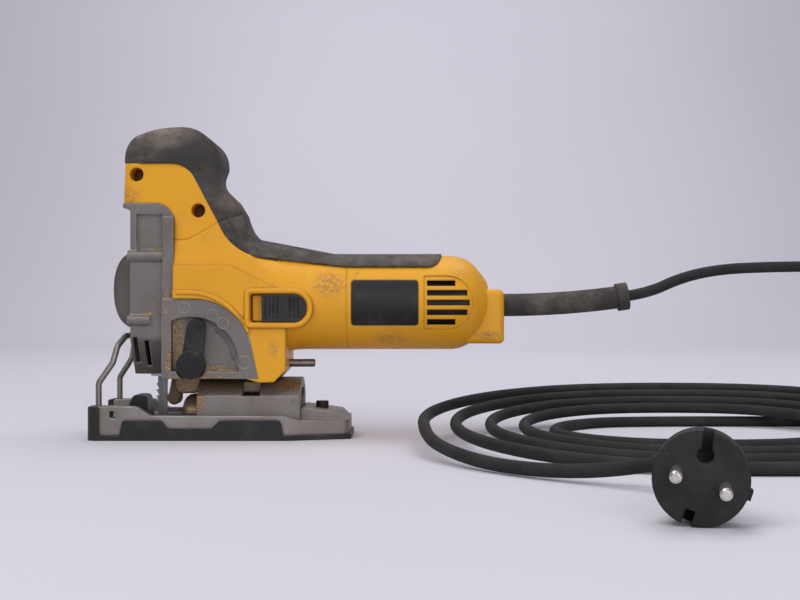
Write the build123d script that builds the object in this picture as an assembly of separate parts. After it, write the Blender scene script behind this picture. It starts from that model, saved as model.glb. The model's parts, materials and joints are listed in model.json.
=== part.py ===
from build123d import *
import math
import os

# A corded body-grip jigsaw. Millimetres, +Z up, the sole stands on Z = 0.
# X runs from the blade end (negative) to the cord end (positive), Y across the tool.

# Driving dimensions of the motor tube and rear cover
motor_axis_z = 84.6
tube_r = 29.8
tube_wall = 3.2
cover_joint_x = 30.0
dome_start_x = 88.0
dome_end_x = 119.0
dome_end_r = 13.0
rear_end_x = 129.0
gland_block_half_width = 14.0
gland_block_bottom_z = 58.7
gland_block_top_z = 93.9
cavity_end_x = 97.0

# Driving dimensions of the head
blade_x = -89.0
neck_half_width = 24.5
body_half_width = 31.0
case_front_x = -104.5
case_joint_x = -77.0
case_top_z = 146.4
nose_bottom_z = 39.5
nose_half_width = 8.0
quadrant_top_z = 87.1
quadrant_corner_x = -34.7
quadrant_foot_x = -24.2
quadrant_r = 36.2
lever_x = -66.0
lever_z = 46.0

# Driving dimensions of the grips
knob_half_width = 26.0
knob_top_z = 198.0
knob_crown_r = 19.0
knob_front_r = 20.0

# Driving dimensions of the drive
stroke = 26.0
pinion_teeth = 6
gear_teeth = 38
gear_module = 1.0
gear_front_x = -74.0
gear_width = 10.0
shaft_r = 4.0
plunger_r = 5.0
core_start_x = 0.0
core_length = 45.0
core_r = 14.0

# Driving dimensions of the shoe
sole_front_x = -129.0
sole_rear_x = 33.0
sole_half_width = 38.0
sole_thick = 3.0
plate_top_z = 12.0
rail_top_z = 15.0
block_top_z = 20.8
block_rear_x = -99.0
slot_half_width = 21.5
slot_front_x = -115.0
slot_rear_x = -64.5
barrel_r = 37.2
barrel_front_x = -63.0
barrel_rear_x = 3.0
barrel_half_width = 26.0
guard_wire_r = 1.85

# Driving dimensions of the cord and plug
cord_r = 3.5
sleeve_r = 7.2
sleeve_collar_r = 8.8
sleeve_length = 80.0
sleeve_axis_z = 83.0
sleeve_bend_deg = 8.4
plug_r = 18.4
plug_depth = 16.0
plug_pin_r = 2.4
plug_pin_length = 19.0
plug_pin_spacing = 19.0

# Clearances
running = 0.05
free = 0.3
seat = 0.02
case_bottom_z = barrel_r + free

os.makedirs("parts", exist_ok=True)


def outline(corners):
    """Closed flat face through corners (a, b, radius), each rounded by its radius."""
    edges = []
    ends = []
    count = len(corners)
    for index, (a, b, radius) in enumerate(corners):
        point = Vector(a, b)
        before = (Vector(*corners[index - 1][:2]) - point).normalized()
        after = (Vector(*corners[(index + 1) % count][:2]) - point).normalized()
        if radius == 0:
            ends.append((point, point))
            continue
        half = math.radians(before.get_angle(after)) / 2
        reach = radius / math.tan(half)
        middle = (before + after).normalized()
        start = point + before * reach
        end = point + after * reach
        crown = point + middle * (radius / math.sin(half) - radius)
        edges.append(ThreePointArc(start, crown, end))
        ends.append((start, end))
    for index in range(count):
        start = ends[index][1]
        end = ends[(index + 1) % count][0]
        if (end - start).length > 1e-6:
            edges.append(Line(start, end))
    return make_face(edges)


def side_block(corners, y_low, y_high):
    """A side-view outline (x, z, radius) carried across the tool."""
    face = Plane.XZ * outline(corners)
    return Pos(0, y_high, 0) * extrude(face, y_high - y_low)


def front_block(corners, x_low, x_high):
    """A front-view outline (y, z, radius) carried along the tool."""
    face = Plane.YZ * outline(corners)
    return Pos(x_low, 0, 0) * extrude(face, x_high - x_low)


def plan_block(corners, z_low, z_high):
    """A top-view outline (x, y, radius) carried upwards."""
    return Pos(0, 0, z_low) * extrude(outline(corners), z_high - z_low)


def box(x_low, x_high, y_low, y_high, z_low, z_high):
    """A plain block between two corners."""
    middle = ((x_low + x_high) / 2, (y_low + y_high) / 2, (z_low + z_high) / 2)
    return Pos(*middle) * Box(x_high - x_low, y_high - y_low, z_high - z_low)


def rod(start, way, length, radius):
    """A round bar from a start point along a direction."""
    return extrude(Plane(origin=start, z_dir=way) * Circle(radius), length)


def rod_x(x_low, x_high, radius, z, y=0.0):
    return rod((x_low, y, z), (1, 0, 0), x_high - x_low, radius)


def rod_y(y_low, y_high, radius, x, z):
    return rod((x, y_low, z), (0, 1, 0), y_high - y_low, radius)


def rod_z(z_low, z_high, radius, x, y=0.0):
    return rod((x, y, z_low), (0, 0, 1), z_high - z_low, radius)


def mirrored(shape):
    """The shape and its twin on the other side of the tool."""
    return shape + mirror(shape, Plane.XZ)


def turned(corners):
    """A turned shape about the motor axis, from (x, radius, fillet) corners."""
    face = Plane.XZ * outline(corners)
    return Pos(0, 0, motor_axis_z) * revolve(face, Axis.X)


# Side-view outlines of the head: corners are (x, z, radius)
seam_low = (case_joint_x, 123.5)
seam_bend = (-69.0, 123.5)
seam_inner = (-50.0, 134.3)
seam_outer = (-34.7, 140.0)
collar_z = 171.2
collar_corner = (-69.5, collar_z)
collar_r = 16.0
handle_front_x = case_front_x - 3.5
flange_front_x = case_front_x - 4.5
knob_front_x = case_front_x - 6.8
shoulder_r = 12.0
grip_low = (-41.5, 114.5)
grip_low_r = 34.0
grip_thick = 1.2
grip_rear_low_z = 107.0
grip_rear_top_z = motor_axis_z + tube_r + grip_thick

knob_outline = [
    (knob_front_x, collar_z, 3.0),
    (-108.8, 184.6, 18.0),
    (-88.3, 193.6, 45.0),
    (-66.5, 195.2, 24.0),
    (-48.7, 181.8, 19.0),
    (-48.7, 170.5, 7.0),
    (-53.0, 160.4, 9.0),
    (-40.0, 148.4, 5.0),
    (*seam_outer, 0),
    (*seam_inner, 0),
    (*collar_corner, collar_r),
]
handle_outline = [
    (handle_front_x, collar_z, 0),
    (*collar_corner, collar_r),
    (*seam_inner, 0),
    (*seam_bend, 8.0),
    (*seam_low, 0),
    (case_joint_x, case_top_z, shoulder_r),
    (flange_front_x - 0.8, case_top_z, 0),
]
grip_outline = [
    (*seam_inner, 0),
    (*seam_outer, 2.0),
    (-29.5, 126.0, 12.0),
    (-2.8, 120.4, 40.0),
    (cover_joint_x, grip_rear_top_z, 0),
    (cover_joint_x, grip_rear_low_z, 0),
    (*grip_low, grip_low_r),
]
housing_outline = [
    (*seam_low, 0),
    (*seam_bend, 8.0),
    (*seam_inner, 0),
    (*grip_low, grip_low_r),
    (cover_joint_x, grip_rear_low_z, 0),
    (cover_joint_x, 40.0, 0),
    (case_joint_x, 40.0, 0),
]
skirt_bottom_z = 35.2
skirt_inner_half_width = 27.5
skirt_outline = [
    (-42.0, 108.0, 10.0),
    (-7.5, 91.0, 10.0),
    (-7.5, 43.0, 2.5),
    (-14.5, skirt_bottom_z + 0.4, 2.0),
    (-24.0, skirt_bottom_z, 1.0),
    (-38.0, case_bottom_z + 2.0, 0),
    (case_joint_x, 60.0, 0),
    (case_joint_x, 108.0, 0),
]


quadrant_outline = [
    (case_joint_x - 7.0, case_bottom_z, 0),
    (case_joint_x - 7.0, quadrant_top_z, 0),
    (quadrant_corner_x, quadrant_top_z, quadrant_r),
    (quadrant_foot_x, case_bottom_z, 0),
]
lip_top_z = quadrant_top_z + 5.4
lip_rear_x = quadrant_corner_x + 7.8
lip_outline = [
    (case_joint_x, case_bottom_z, 0),
    (case_joint_x, lip_top_z, 0),
    (lip_rear_x, lip_top_z, quadrant_r + 3.8),
    (lip_rear_x, case_bottom_z, 0),
]


def head_section(reach):
    """Front-view limit of the upper housing, from the wide body up to the slim neck."""
    return front_block(
        [
            (-body_half_width, 20.0, 0),
            (body_half_width, 20.0, 0),
            (body_half_width, 92.0, 110.0),
            (neck_half_width - 0.5, 128.0, 110.0),
            (neck_half_width - 0.5, 180.0, 0),
            (-neck_half_width + 0.5, 180.0, 0),
            (-neck_half_width + 0.5, 128.0, 110.0),
            (-body_half_width, 92.0, 110.0),
        ],
        -reach,
        reach,
    )


# Hollows that the drive needs inside the housings
wall_front_x = -62.0
wall_rear_x = -46.0
chamber_half_width = 21.0
gear_axis_z = motor_axis_z + gear_module * (pinion_teeth + gear_teeth) / 2
clamp_r = 7.0
bush_r = 9.0
lower_bush_z = 77.0
bush_length = 8.0
plunger_top_z = 139.0
upper_bush_z = 128.5
fork_x = -74.0
fork_z = 50.0
roller_z = 24.0
roller_r = 4.5
fork_half_width = 6.0
tube_bore_r = tube_r - tube_wall


def drive_hollows():
    """Every hollow in the head: gear chamber, plunger way, clamp and fork slots, motor bore."""
    chamber = box(-98.0, wall_front_x, -chamber_half_width, chamber_half_width, 86.0, 128.0)
    bridge = box(wall_front_x, wall_rear_x, -chamber_half_width, chamber_half_width, 66.0, 128.0)
    plunger_way = rod_z(lower_bush_z, plunger_top_z + stroke + 2.0, plunger_r + 0.5, blade_x)
    bushes = rod_z(lower_bush_z, lower_bush_z + bush_length, bush_r, blade_x)
    bushes += rod_z(upper_bush_z, upper_bush_z + bush_length, bush_r, blade_x)
    clamp_way = rod_z(20.0, lower_bush_z, clamp_r + 1.0, blade_x)
    fork_slot = box(-86.5, -60.0, -fork_half_width - 0.8, fork_half_width + 0.8, 20.0, 62.0)
    pinion_way = rod_x(-78.0, wall_front_x, 6.0, motor_axis_z)
    motor = rod_x(wall_rear_x, cavity_end_x, tube_bore_r, motor_axis_z)
    return chamber + bridge + plunger_way + bushes + clamp_way + fork_slot + pinion_way + motor


hollows = drive_hollows()


# Gear case: neck, rim, top flange, nose and the quadrant with its lever pocket
def make_gear_case():
    section = [
        (-nose_half_width, nose_bottom_z, 0),
        (nose_half_width, nose_bottom_z, 0),
        (neck_half_width, 62.0, 6.0),
        (neck_half_width, case_top_z, 0),
        (-neck_half_width, case_top_z, 0),
        (-neck_half_width, 62.0, 6.0),
    ]
    neck = front_block(section, case_front_x, case_joint_x)
    recess_depth = 2.0
    recess = box(case_front_x + 4.0, -84.0, neck_half_width - recess_depth, 40.0, 116.0, 139.5)
    neck -= mirrored(recess)
    flange = box(flange_front_x, case_joint_x, -neck_half_width, neck_half_width, 140.0, case_top_z)
    flange = flange - rod_y(-40.0, 40.0, 6.0, flange_front_x, 137.5)
    rim = box(case_joint_x - 7.0, case_joint_x, -body_half_width + 3.0, body_half_width - 3.0, 87.0, 138.0)
    roll_r = 3.9
    upper_roll = rod_x(case_front_x - 1.5, case_joint_x - 7.0, roll_r, 113.4, neck_half_width - 1.5)
    lower_roll = rod_x(case_front_x - 1.5, -92.0, roll_r, 73.4, neck_half_width - 1.5)
    quadrant = side_block(quadrant_outline, -body_half_width, body_half_width)
    pocket_r = 30.0
    pocket_depth = 6.5
    pocket = rod_y(-body_half_width - 1.0, -body_half_width + pocket_depth, pocket_r, lever_x, lever_z)
    pocket &= box(lever_x - 12.0, 10.0, -50.0, 0.0, lever_z - 4.0, 90.0)
    boss_way = rod_y(-body_half_width - 1.0, -body_half_width + pocket_depth, 10.0, lever_x, lever_z)
    case = neck + flange + rim + mirrored(upper_roll) + mirrored(lower_roll) + quadrant
    case -= pocket + boss_way
    groove_y = -body_half_width + pocket_depth
    groove = rod_y(groove_y - 1.0, groove_y + groove_depth, groove_r + 0.7, lever_x, lever_z)
    groove -= rod_y(groove_y - 1.0, groove_y + groove_depth, groove_r - 0.7, lever_x, lever_z)
    case -= groove & box(lever_x + 14.0, 0.0, -50.0, 0.0, lever_z + 2.5, 90.0)
    case -= side_block(handle_outline, -60.0, 60.0)
    case -= box(case_front_x + 1.6, case_front_x + 4.4, -40.0, 40.0, 47.0, 63.0)
    case -= box(-96.0, -93.2, -40.0, 0.0, 45.0, 61.0)
    case -= rod_y(-body_half_width, 0.0, lever_shaft_r + running, lever_x, lever_z)
    case -= rod_y(-10.0, 10.0, fork_pin_r + seat, fork_x, fork_z)
    return case - hollows


lever_shaft_r = 4.0
fork_pin_r = 2.5
groove_r = 25.6
groove_depth = 0.8
gear_case = make_gear_case()

# Rounded dark cover over the plunger at the front of the gear case
cover_half_width = 15.0
cover_bottom_z = 69.0
cover_top_z = 116.0
cover_bulge = 11.0
front_cover = side_block(
    [
        (case_front_x, cover_bottom_z, 0),
        (case_front_x, cover_top_z, 0),
        (case_front_x - cover_bulge, cover_top_z - 4.0, 8.0),
        (case_front_x - cover_bulge - 2.5, (cover_top_z + cover_bottom_z) / 2, 30.0),
        (case_front_x - cover_bulge, cover_bottom_z + 4.0, 8.0),
    ],
    -cover_half_width,
    cover_half_width,
)
front_cover = front_cover & plan_block(
    [
        (case_front_x, -cover_half_width, 0),
        (case_front_x, cover_half_width, 0),
        (case_front_x - cover_bulge - 5.0, cover_half_width, 9.0),
        (case_front_x - cover_bulge - 5.0, -cover_half_width, 9.0),
    ],
    0.0,
    200.0,
)


# Main housing: head and motor tube in one moulding, with the switch recess
switch_x = -8.2
switch_z = 81.2
switch_length = 27.4
switch_height = 17.0
switch_travel = 7.0
lock_rod_z = 46.0
lock_rod_r = 2.5
lock_rod_x = -24.0
lock_rod_reach_x = 9.0
rim_proud = 1.2
rim_root = 20.0


def switch_rim():
    """Raised oval rim round the slide switch."""
    margin = 4.0
    x_low = switch_x - switch_length / 2 - switch_travel - margin
    x_high = switch_x + switch_length / 2 + margin
    z_low = switch_z - switch_height / 2 - margin
    z_high = switch_z + switch_height / 2 + margin
    corners = [(x_low, z_low, 4.0), (x_low, z_high, 4.0), (x_high, z_high, 12.0), (x_high, z_low, 12.0)]
    return side_block(corners, -body_half_width - rim_proud, -rim_root)


def upper_body(grow):
    """The wide head carried into the round motor tube by a flared turning and a slanted spine."""
    flare = turned(
        [
            (-200.0, 0.0, 0),
            (-200.0, 160.0, 0),
            (-60.0, 80.0, 0),
            (flare_end_x, tube_r + grow, flare_r),
            (cover_joint_x, tube_r + grow, 0),
            (cover_joint_x, 0.0, 0),
        ]
    )
    spine_way = Vector(1, 0, -spine_fall)
    spine_start = Vector(-60.0, 0, spine_z + 60.0 * spine_fall)
    spine = rod(spine_start, spine_way, 120.0, spine_r + grow)
    return (head_section(200.0) & flare) + spine


flare_end_x = -30.0
flare_r = 60.0
spine_z = 95.3
spine_fall = 0.19
spine_r = 22.8
lip_root = 3.0
lip_proud = 1.0
lip_low_z = 66.0


def make_main_housing():
    body = side_block(housing_outline, -body_half_width, body_half_width) & upper_body(0.0)
    skirt = side_block(skirt_outline, -body_half_width, body_half_width)
    under = box(-100.0, 10.0, -skirt_inner_half_width, skirt_inner_half_width, 20.0, case_bottom_z + 0.5)
    body += skirt - under
    lip = side_block(lip_outline, body_half_width - lip_root, body_half_width + lip_proud)
    body += mirrored(lip & box(case_joint_x, 0.0, 0.0, 60.0, lip_low_z, 300.0))
    body -= side_block(quadrant_outline, -60.0, 60.0)
    body -= box(-200.0, case_joint_x, -60.0, 60.0, 0.0, 300.0)
    slot = side_block(
        [
            (switch_x - switch_length / 2 - switch_travel - free, switch_z - switch_height / 2 - free, 2.0),
            (switch_x - switch_length / 2 - switch_travel - free, switch_z + switch_height / 2 + free, 2.0),
            (switch_x + switch_length / 2 + free, switch_z + switch_height / 2 + free, 8.4),
            (switch_x + switch_length / 2 + free, switch_z - switch_height / 2 - free, 8.4),
        ],
        -60.0,
        -tube_bore_r + 1.0,
    )
    body += switch_rim()
    body -= slot
    body -= rod_x(lock_rod_x, 0.0, lock_rod_r + running, lock_rod_z)
    return body - hollows


main_housing = make_main_housing()


# Top handle: two half shells screwed together, under the rubber knob
screw_places = [(-100.7, 164.3), (-62.3, 141.9)]
screw_recess_r = 4.3
screw_recess_depth = 19.0
screw_head_r = 3.6
screw_r = 1.9
screw_length = 22.0


def make_handle():
    block = side_block(handle_outline, -neck_half_width, neck_half_width)
    block &= head_section(200.0)
    block &= plan_block(
        [
            (flange_front_x - 0.8, -neck_half_width, 9.0),
            (flange_front_x - 0.8, neck_half_width, 9.0),
            (cover_joint_x, neck_half_width, 0),
            (cover_joint_x, -neck_half_width, 0),
        ],
        100.0,
        200.0,
    )
    for x, z in screw_places:
        y_outer = -neck_half_width - 1.0
        block -= rod_y(y_outer, -neck_half_width + screw_recess_depth, screw_recess_r, x, z)
        block -= rod_y(y_outer, -neck_half_width + screw_recess_depth + screw_length, screw_r + seat, x, z)
    return block - hollows


handle = make_handle()
handle_left = handle & box(-200.0, 100.0, -60.0, 0.0, 0.0, 300.0)
handle_right = handle & box(-200.0, 100.0, 0.0, 60.0, 0.0, 300.0)


def make_screw(x, z):
    head_y = -neck_half_width + screw_recess_depth
    head = rod_y(head_y - 2.6, head_y, screw_head_r, x, z)
    return head + rod_y(head_y, head_y + screw_length - 2.0, screw_r, x, z)


handle_screws = [make_screw(x, z) for x, z in screw_places]

# Rubber knob over the handle and rubber grips along the back
knob = side_block(knob_outline, -knob_half_width, knob_half_width)
knob &= front_block(
    [
        (-neck_half_width + 0.5, 125.0, 0),
        (neck_half_width - 0.5, 125.0, 0),
        (neck_half_width - 0.5, 166.0, 6.0),
        (knob_half_width, 176.0, 8.0),
        (knob_half_width, knob_top_z, knob_crown_r),
        (-knob_half_width, knob_top_z, knob_crown_r),
        (-knob_half_width, 176.0, 8.0),
        (-neck_half_width + 0.5, 166.0, 6.0),
    ],
    -200.0,
    100.0,
)
knob &= plan_block(
    [
        (knob_front_x, -knob_half_width, knob_front_r),
        (knob_front_x, knob_half_width, knob_front_r),
        (-54.0, knob_half_width, 20.0),
        (-33.0, neck_half_width - 14.0, 8.0),
        (-33.0, -neck_half_width + 14.0, 8.0),
        (-54.0, -knob_half_width, 20.0),
    ],
    100.0,
    200.0,
)
knob -= hollows

main_grip = side_block(grip_outline, -body_half_width, body_half_width) & upper_body(grip_thick)
main_grip = main_grip - hollows

# Rear cover: turned tube and dome with the cord block, vents and a plate recess
vent_x = 80.0
vent_pitch = 6.0
vent_height = 3.4
vent_reaches = [17.5, 25.0, 26.5, 25.0, 17.5]
vent_field_r = 16.7
vent_sink = 0.6
plate_x = (33.0, 74.5)
plate_z = (70.5, 98.5)
plate_thick = 1.0
rear_grip_end_x = 86.0
bearing_r = 9.5
bearing_width = 7.0
rear_bearing_x = 99.0


def rear_shape(grow):
    """Outside of the rear cover, turned about the motor axis."""
    return turned(
        [
            (cover_joint_x, 0.0, 0),
            (cover_joint_x, tube_r + grow, 0),
            (dome_start_x + 18.0, tube_r + grow, 22.0),
            (dome_end_x, dome_end_r, 8.0),
            (dome_end_x, 0.0, 0),
        ]
    )


def make_cord_block():
    block = side_block(
        [
            (100.0, gland_block_bottom_z, 2.0),
            (100.0, gland_block_top_z, 2.0),
            (rear_end_x, gland_block_top_z - 1.0, 4.0),
            (rear_end_x, gland_block_bottom_z, 3.0),
        ],
        -gland_block_half_width,
        gland_block_half_width,
    )
    return fillet(block.faces().sort_by(Axis.X)[-1].edges().filter_by(Axis.Z), 4.0)


rear_grip_corners = [
    (cover_joint_x, grip_rear_low_z, 0),
    (rear_grip_end_x, grip_rear_low_z, 9.0),
    (rear_grip_end_x + 10.0, 130.0, 0),
    (cover_joint_x, 130.0, 0),
]


def make_vents():
    """Five level slots through the cover's side, their far ends on a round."""
    slots = None
    for index, reach in enumerate(vent_reaches):
        z = motor_axis_z + (2 - index) * vent_pitch
        slot = box(vent_x, vent_x + reach, -60.0, -15.0, z - vent_height / 2, z + vent_height / 2)
        slots = slot if slots is None else slots + slot
    return slots


def plate_window(grow, y_low):
    """Rounded window of the side plate, grown by a clearance."""
    return side_block(
        [
            (plate_x[0] - grow, plate_z[0] - grow, 2.0),
            (plate_x[0] - grow, plate_z[1] + grow, 2.0),
            (plate_x[1] + grow, plate_z[1] + grow, 2.0),
            (plate_x[1] + grow, plate_z[0] - grow, 2.0),
        ],
        y_low,
        -10.0,
    )


def make_rear_cover():
    shell = rear_shape(0.0) + make_cord_block()
    shell -= side_block(rear_grip_corners, -60.0, 60.0)
    shell -= rod_x(cover_joint_x, cavity_end_x, tube_bore_r, motor_axis_z)
    shell -= rod_x(cavity_end_x, rear_bearing_x + bearing_width, bearing_r, motor_axis_z)
    shell -= mirrored(make_vents())
    ring = rod_x(plate_x[0] - 5.0, plate_x[1] + 5.0, tube_r + 5.0, motor_axis_z)
    ring -= rod_x(plate_x[0] - 5.0, plate_x[1] + 5.0, tube_r - plate_thick, motor_axis_z)
    sink = rear_shape(1.0) - rear_shape(-vent_sink)
    sink &= side_block(
        [
            (vent_x - 2.0, motor_axis_z - vent_field_r, 1.0),
            (vent_x - 2.0, motor_axis_z + vent_field_r, 1.0),
            (vent_x + 28.5, motor_axis_z + vent_field_r, vent_field_r - 0.2),
            (vent_x + 28.5, motor_axis_z - vent_field_r, vent_field_r - 0.2),
        ],
        -60.0,
        60.0,
    )
    return shell - (ring & plate_window(seat, -60.0)) - sink


rear_cover = make_rear_cover()
rear_grip = rear_shape(1.2) & side_block(rear_grip_corners, -60.0, 60.0)
rear_grip -= rod_x(cover_joint_x, cavity_end_x, tube_bore_r, motor_axis_z)

side_plate = rod_x(plate_x[0] - 5.0, plate_x[1] + 5.0, tube_r + 0.3, motor_axis_z)
side_plate -= rod_x(plate_x[0] - 5.0, plate_x[1] + 5.0, tube_r - plate_thick, motor_axis_z)
side_plate &= plate_window(0.0, -60.0)


# Motor: field stack with its coils, armature, fan, bearings and brushes
field_stack = rod_x(core_start_x, core_start_x + core_length, tube_bore_r, motor_axis_z)
field_stack -= rod_x(core_start_x, core_start_x + core_length, core_r + 0.6, motor_axis_z)
coil_depth = 7.0


def make_coil(x):
    ring = rod_x(x, x + coil_depth, 23.0, motor_axis_z)
    ring -= rod_x(x, x + coil_depth, core_r + 2.0, motor_axis_z)
    return fillet(ring.edges(), 1.5)


field_coils = [make_coil(core_start_x - coil_depth), make_coil(core_start_x + core_length)]


def toothed(teeth, root_r, tip_r, share_root, share_tip, phase_deg):
    """Flat gear outline: straight-flanked teeth, their widths as shares of the pitch."""
    points = []
    pitch = 2 * math.pi / teeth
    for tooth in range(teeth):
        middle = math.radians(phase_deg) + tooth * pitch
        for radius, turn in (
            (root_r, -share_root / 2),
            (tip_r, -share_tip / 2),
            (tip_r, share_tip / 2),
            (root_r, share_root / 2),
        ):
            angle = middle + turn * pitch
            points.append((radius * math.cos(angle), radius * math.sin(angle)))
    return make_face(Polyline(points, close=True))


def on_axis(face, x, z, length):
    """A flat gear outline set on an axis along the tool and given its width."""
    return extrude(Plane(origin=(x, 0, z), x_dir=(0, 1, 0), z_dir=(1, 0, 0)) * face, length)


pinion_r = gear_module * pinion_teeth / 2
gear_r = gear_module * gear_teeth / 2
addendum = 0.75 * gear_module
dedendum = 0.95 * gear_module
pinion_rear_x = gear_front_x + gear_width + 2.0
armature_rear_x = rear_bearing_x + bearing_width
commutator_x = (57.0, 73.0)
commutator_r = 9.5
fan_x = (-30.0, -18.0)
fan_r = 23.5
fan_blades = 9


def make_armature():
    pinion_face = toothed(pinion_teeth, pinion_r - dedendum, pinion_r + addendum, 0.52, 0.24, 60.0)
    pinion = on_axis(pinion_face, gear_front_x, motor_axis_z, gear_width + 2.0)
    shaft = rod_x(pinion_rear_x, armature_rear_x, shaft_r, motor_axis_z)
    core = rod_x(core_start_x, core_start_x + core_length, core_r, motor_axis_z)
    for slot in range(12):
        groove = box(core_start_x, core_start_x + core_length, -0.9, 0.9, core_r - 3.0, core_r + 1.0)
        core -= Pos(0, 0, motor_axis_z) * Rot(slot * 30.0, 0, 0) * groove
    commutator = rod_x(*commutator_x, commutator_r, motor_axis_z)
    return pinion + shaft + core + commutator


armature = make_armature()


def make_fan():
    disc = rod_x(fan_x[0], fan_x[0] + 1.6, fan_r, motor_axis_z) + rod_x(*fan_x, shaft_r + 3.5, motor_axis_z)
    for blade in range(fan_blades):
        vane = box(fan_x[0] + 0.5, fan_x[1], -0.7, 0.7, shaft_r + 3.0, fan_r - 1.0)
        disc += Pos(0, 0, motor_axis_z) * Rot(blade * 360.0 / fan_blades, 0, 0) * vane
    return disc - rod_x(fan_x[0] - 1.0, fan_x[1] + 1.0, shaft_r + seat, motor_axis_z)


fan = make_fan()


def make_bearing(x, z, outer, inner, width):
    """Ball bearing as its closed ring, with a groove between the races on both faces."""
    ring = rod_x(x, x + width, outer, z) - rod_x(x, x + width, inner, z)
    middle = (outer + inner) / 2
    groove = rod_x(x - 1.0, x + 0.6, middle + 0.8, z) - rod_x(x - 1.0, x + 0.6, middle - 0.8, z)
    return ring - groove - Pos(width + 0.4, 0, 0) * groove


front_bearing_x = -57.0
front_bearing_r = 11.0
gear_bearing_x = -61.0
gear_bearing_r = 8.0
gear_shaft_r = 4.0
motor_bearings = [
    make_bearing(front_bearing_x, motor_axis_z, front_bearing_r - seat, shaft_r + running, bearing_width),
    make_bearing(rear_bearing_x, motor_axis_z, bearing_r - seat, shaft_r + running, bearing_width),
]
gear_bearing = make_bearing(
    gear_bearing_x, gear_axis_z, gear_bearing_r - seat, gear_shaft_r + running, bearing_width
)

bearing_bridge = box(
    wall_front_x,
    wall_rear_x,
    -chamber_half_width,
    chamber_half_width,
    66.0,
    128.0,
)
bearing_bridge -= rod_x(front_bearing_x, wall_rear_x, front_bearing_r, motor_axis_z)
bearing_bridge -= rod_x(wall_front_x, front_bearing_x, shaft_r + 2.0, motor_axis_z)
bearing_bridge -= rod_x(gear_bearing_x, wall_rear_x, gear_bearing_r, gear_axis_z)
bearing_bridge -= rod_x(wall_front_x, gear_bearing_x, gear_shaft_r + 2.0, gear_axis_z)

brush_x = 65.0
brush_size = (8.0, 6.0)
carrier = rod_x(brush_x - 6.0, brush_x + 6.0, tube_bore_r, motor_axis_z)
carrier -= rod_x(brush_x - 6.0, brush_x + 6.0, 19.0, motor_axis_z)
carrier_arm = box(brush_x - 6.0, brush_x + 6.0, 11.5, 22.0, motor_axis_z - 5.0, motor_axis_z + 5.0)
brush_way = box(
    brush_x - brush_size[0] / 2 - seat,
    brush_x + brush_size[0] / 2 + seat,
    0.0,
    22.0,
    motor_axis_z - brush_size[1] / 2 - seat,
    motor_axis_z + brush_size[1] / 2 + seat,
)
air_wall = box(
    brush_x + 5.0,
    cavity_end_x - free,
    16.0,
    18.0,
    motor_axis_z - 18.0,
    motor_axis_z + 18.0,
)
brush_carrier = carrier + mirrored(carrier_arm) + air_wall - mirrored(brush_way)
brush = box(
    brush_x - brush_size[0] / 2,
    brush_x + brush_size[0] / 2,
    commutator_r + free,
    20.0,
    motor_axis_z - brush_size[1] / 2,
    motor_axis_z + brush_size[1] / 2,
)
carbon_brushes = [brush, mirror(brush, Plane.XZ)]

switch_module = box(78.0, 95.0, -11.0, 11.0, motor_axis_z + 9.0, motor_axis_z + 40.0)
switch_module &= rod_x(70.0, 96.0, tube_bore_r, motor_axis_z)


# Reduction gear with its crank pin, which stops short of the yoke
crank_z = gear_axis_z - stroke / 2
crank_pin_r = 4.0
yoke_rear_x = -81.0
yoke_front_x = -86.0
pin_gap = 0.5


def make_drive_gear():
    face = toothed(gear_teeth, gear_r - dedendum, gear_r + addendum, 0.52, 0.24, -90.0)
    gear = on_axis(face, gear_front_x, gear_axis_z, gear_width)
    for turn in range(4):
        y = 11.5 * math.cos(math.radians(turn * 90.0 + 45.0))
        z = gear_axis_z + 11.5 * math.sin(math.radians(turn * 90.0 + 45.0))
        gear -= rod_x(gear_front_x, gear_front_x + gear_width, 3.0, z, y)
    gear += rod_x(gear_front_x + gear_width, gear_bearing_x + bearing_width, gear_shaft_r, gear_axis_z)
    return gear + rod_x(yoke_rear_x + pin_gap, gear_front_x, crank_pin_r, crank_z)


drive_gear = make_drive_gear()

# Plunger with its yoke, two bushes, the blade clamp and a short blade
plunger_bottom_z = 45.0
clamp_z = (38.0, 50.0)
blade_thick = 1.4
blade_width = 7.0
blade_bottom_z = 1.5
tooth_pitch = 4.0
tooth_depth = 1.7
tooth_count = 8
yoke_half_width = 20.0
yoke_half_height = 7.2

plunger = rod_z(plunger_bottom_z, plunger_top_z, plunger_r, blade_x)
yoke = box(
    yoke_front_x,
    yoke_rear_x,
    -yoke_half_width,
    yoke_half_width,
    crank_z - yoke_half_height,
    crank_z + yoke_half_height,
)
yoke_slot_half_length = stroke / 2 + crank_pin_r + 0.2
yoke_slot = box(
    blade_x + plunger_r - 1.0,
    yoke_rear_x,
    -yoke_slot_half_length,
    yoke_slot_half_length,
    crank_z - crank_pin_r - 0.1,
    crank_z + crank_pin_r + 0.1,
)
plunger = plunger + yoke - yoke_slot


def make_bush(z):
    bush = rod_z(z, z + bush_length, bush_r - seat, blade_x)
    return bush - rod_z(z, z + bush_length, plunger_r + running, blade_x)


plunger_bushes = [make_bush(lower_bush_z), make_bush(upper_bush_z)]

blade_back_x = blade_x + blade_width / 2
blade_front_x = blade_x - blade_width / 2


def make_blade():
    """Flat blade with raked teeth on its front edge."""
    points = [(blade_back_x, blade_bottom_z), (blade_back_x, plunger_bottom_z - 0.5)]
    points.append((blade_front_x + 1.0, plunger_bottom_z - 0.5))
    top = blade_bottom_z + tooth_count * tooth_pitch
    points.append((blade_front_x + 1.0, top))
    for tooth in range(tooth_count):
        z = top - tooth * tooth_pitch
        points.append((blade_front_x, z - 0.6))
        points.append((blade_front_x + tooth_depth, z - tooth_pitch))
    face = Plane.XZ * make_face(Polyline(points, close=True))
    return Pos(0, blade_thick / 2, 0) * extrude(face, blade_thick)


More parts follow.
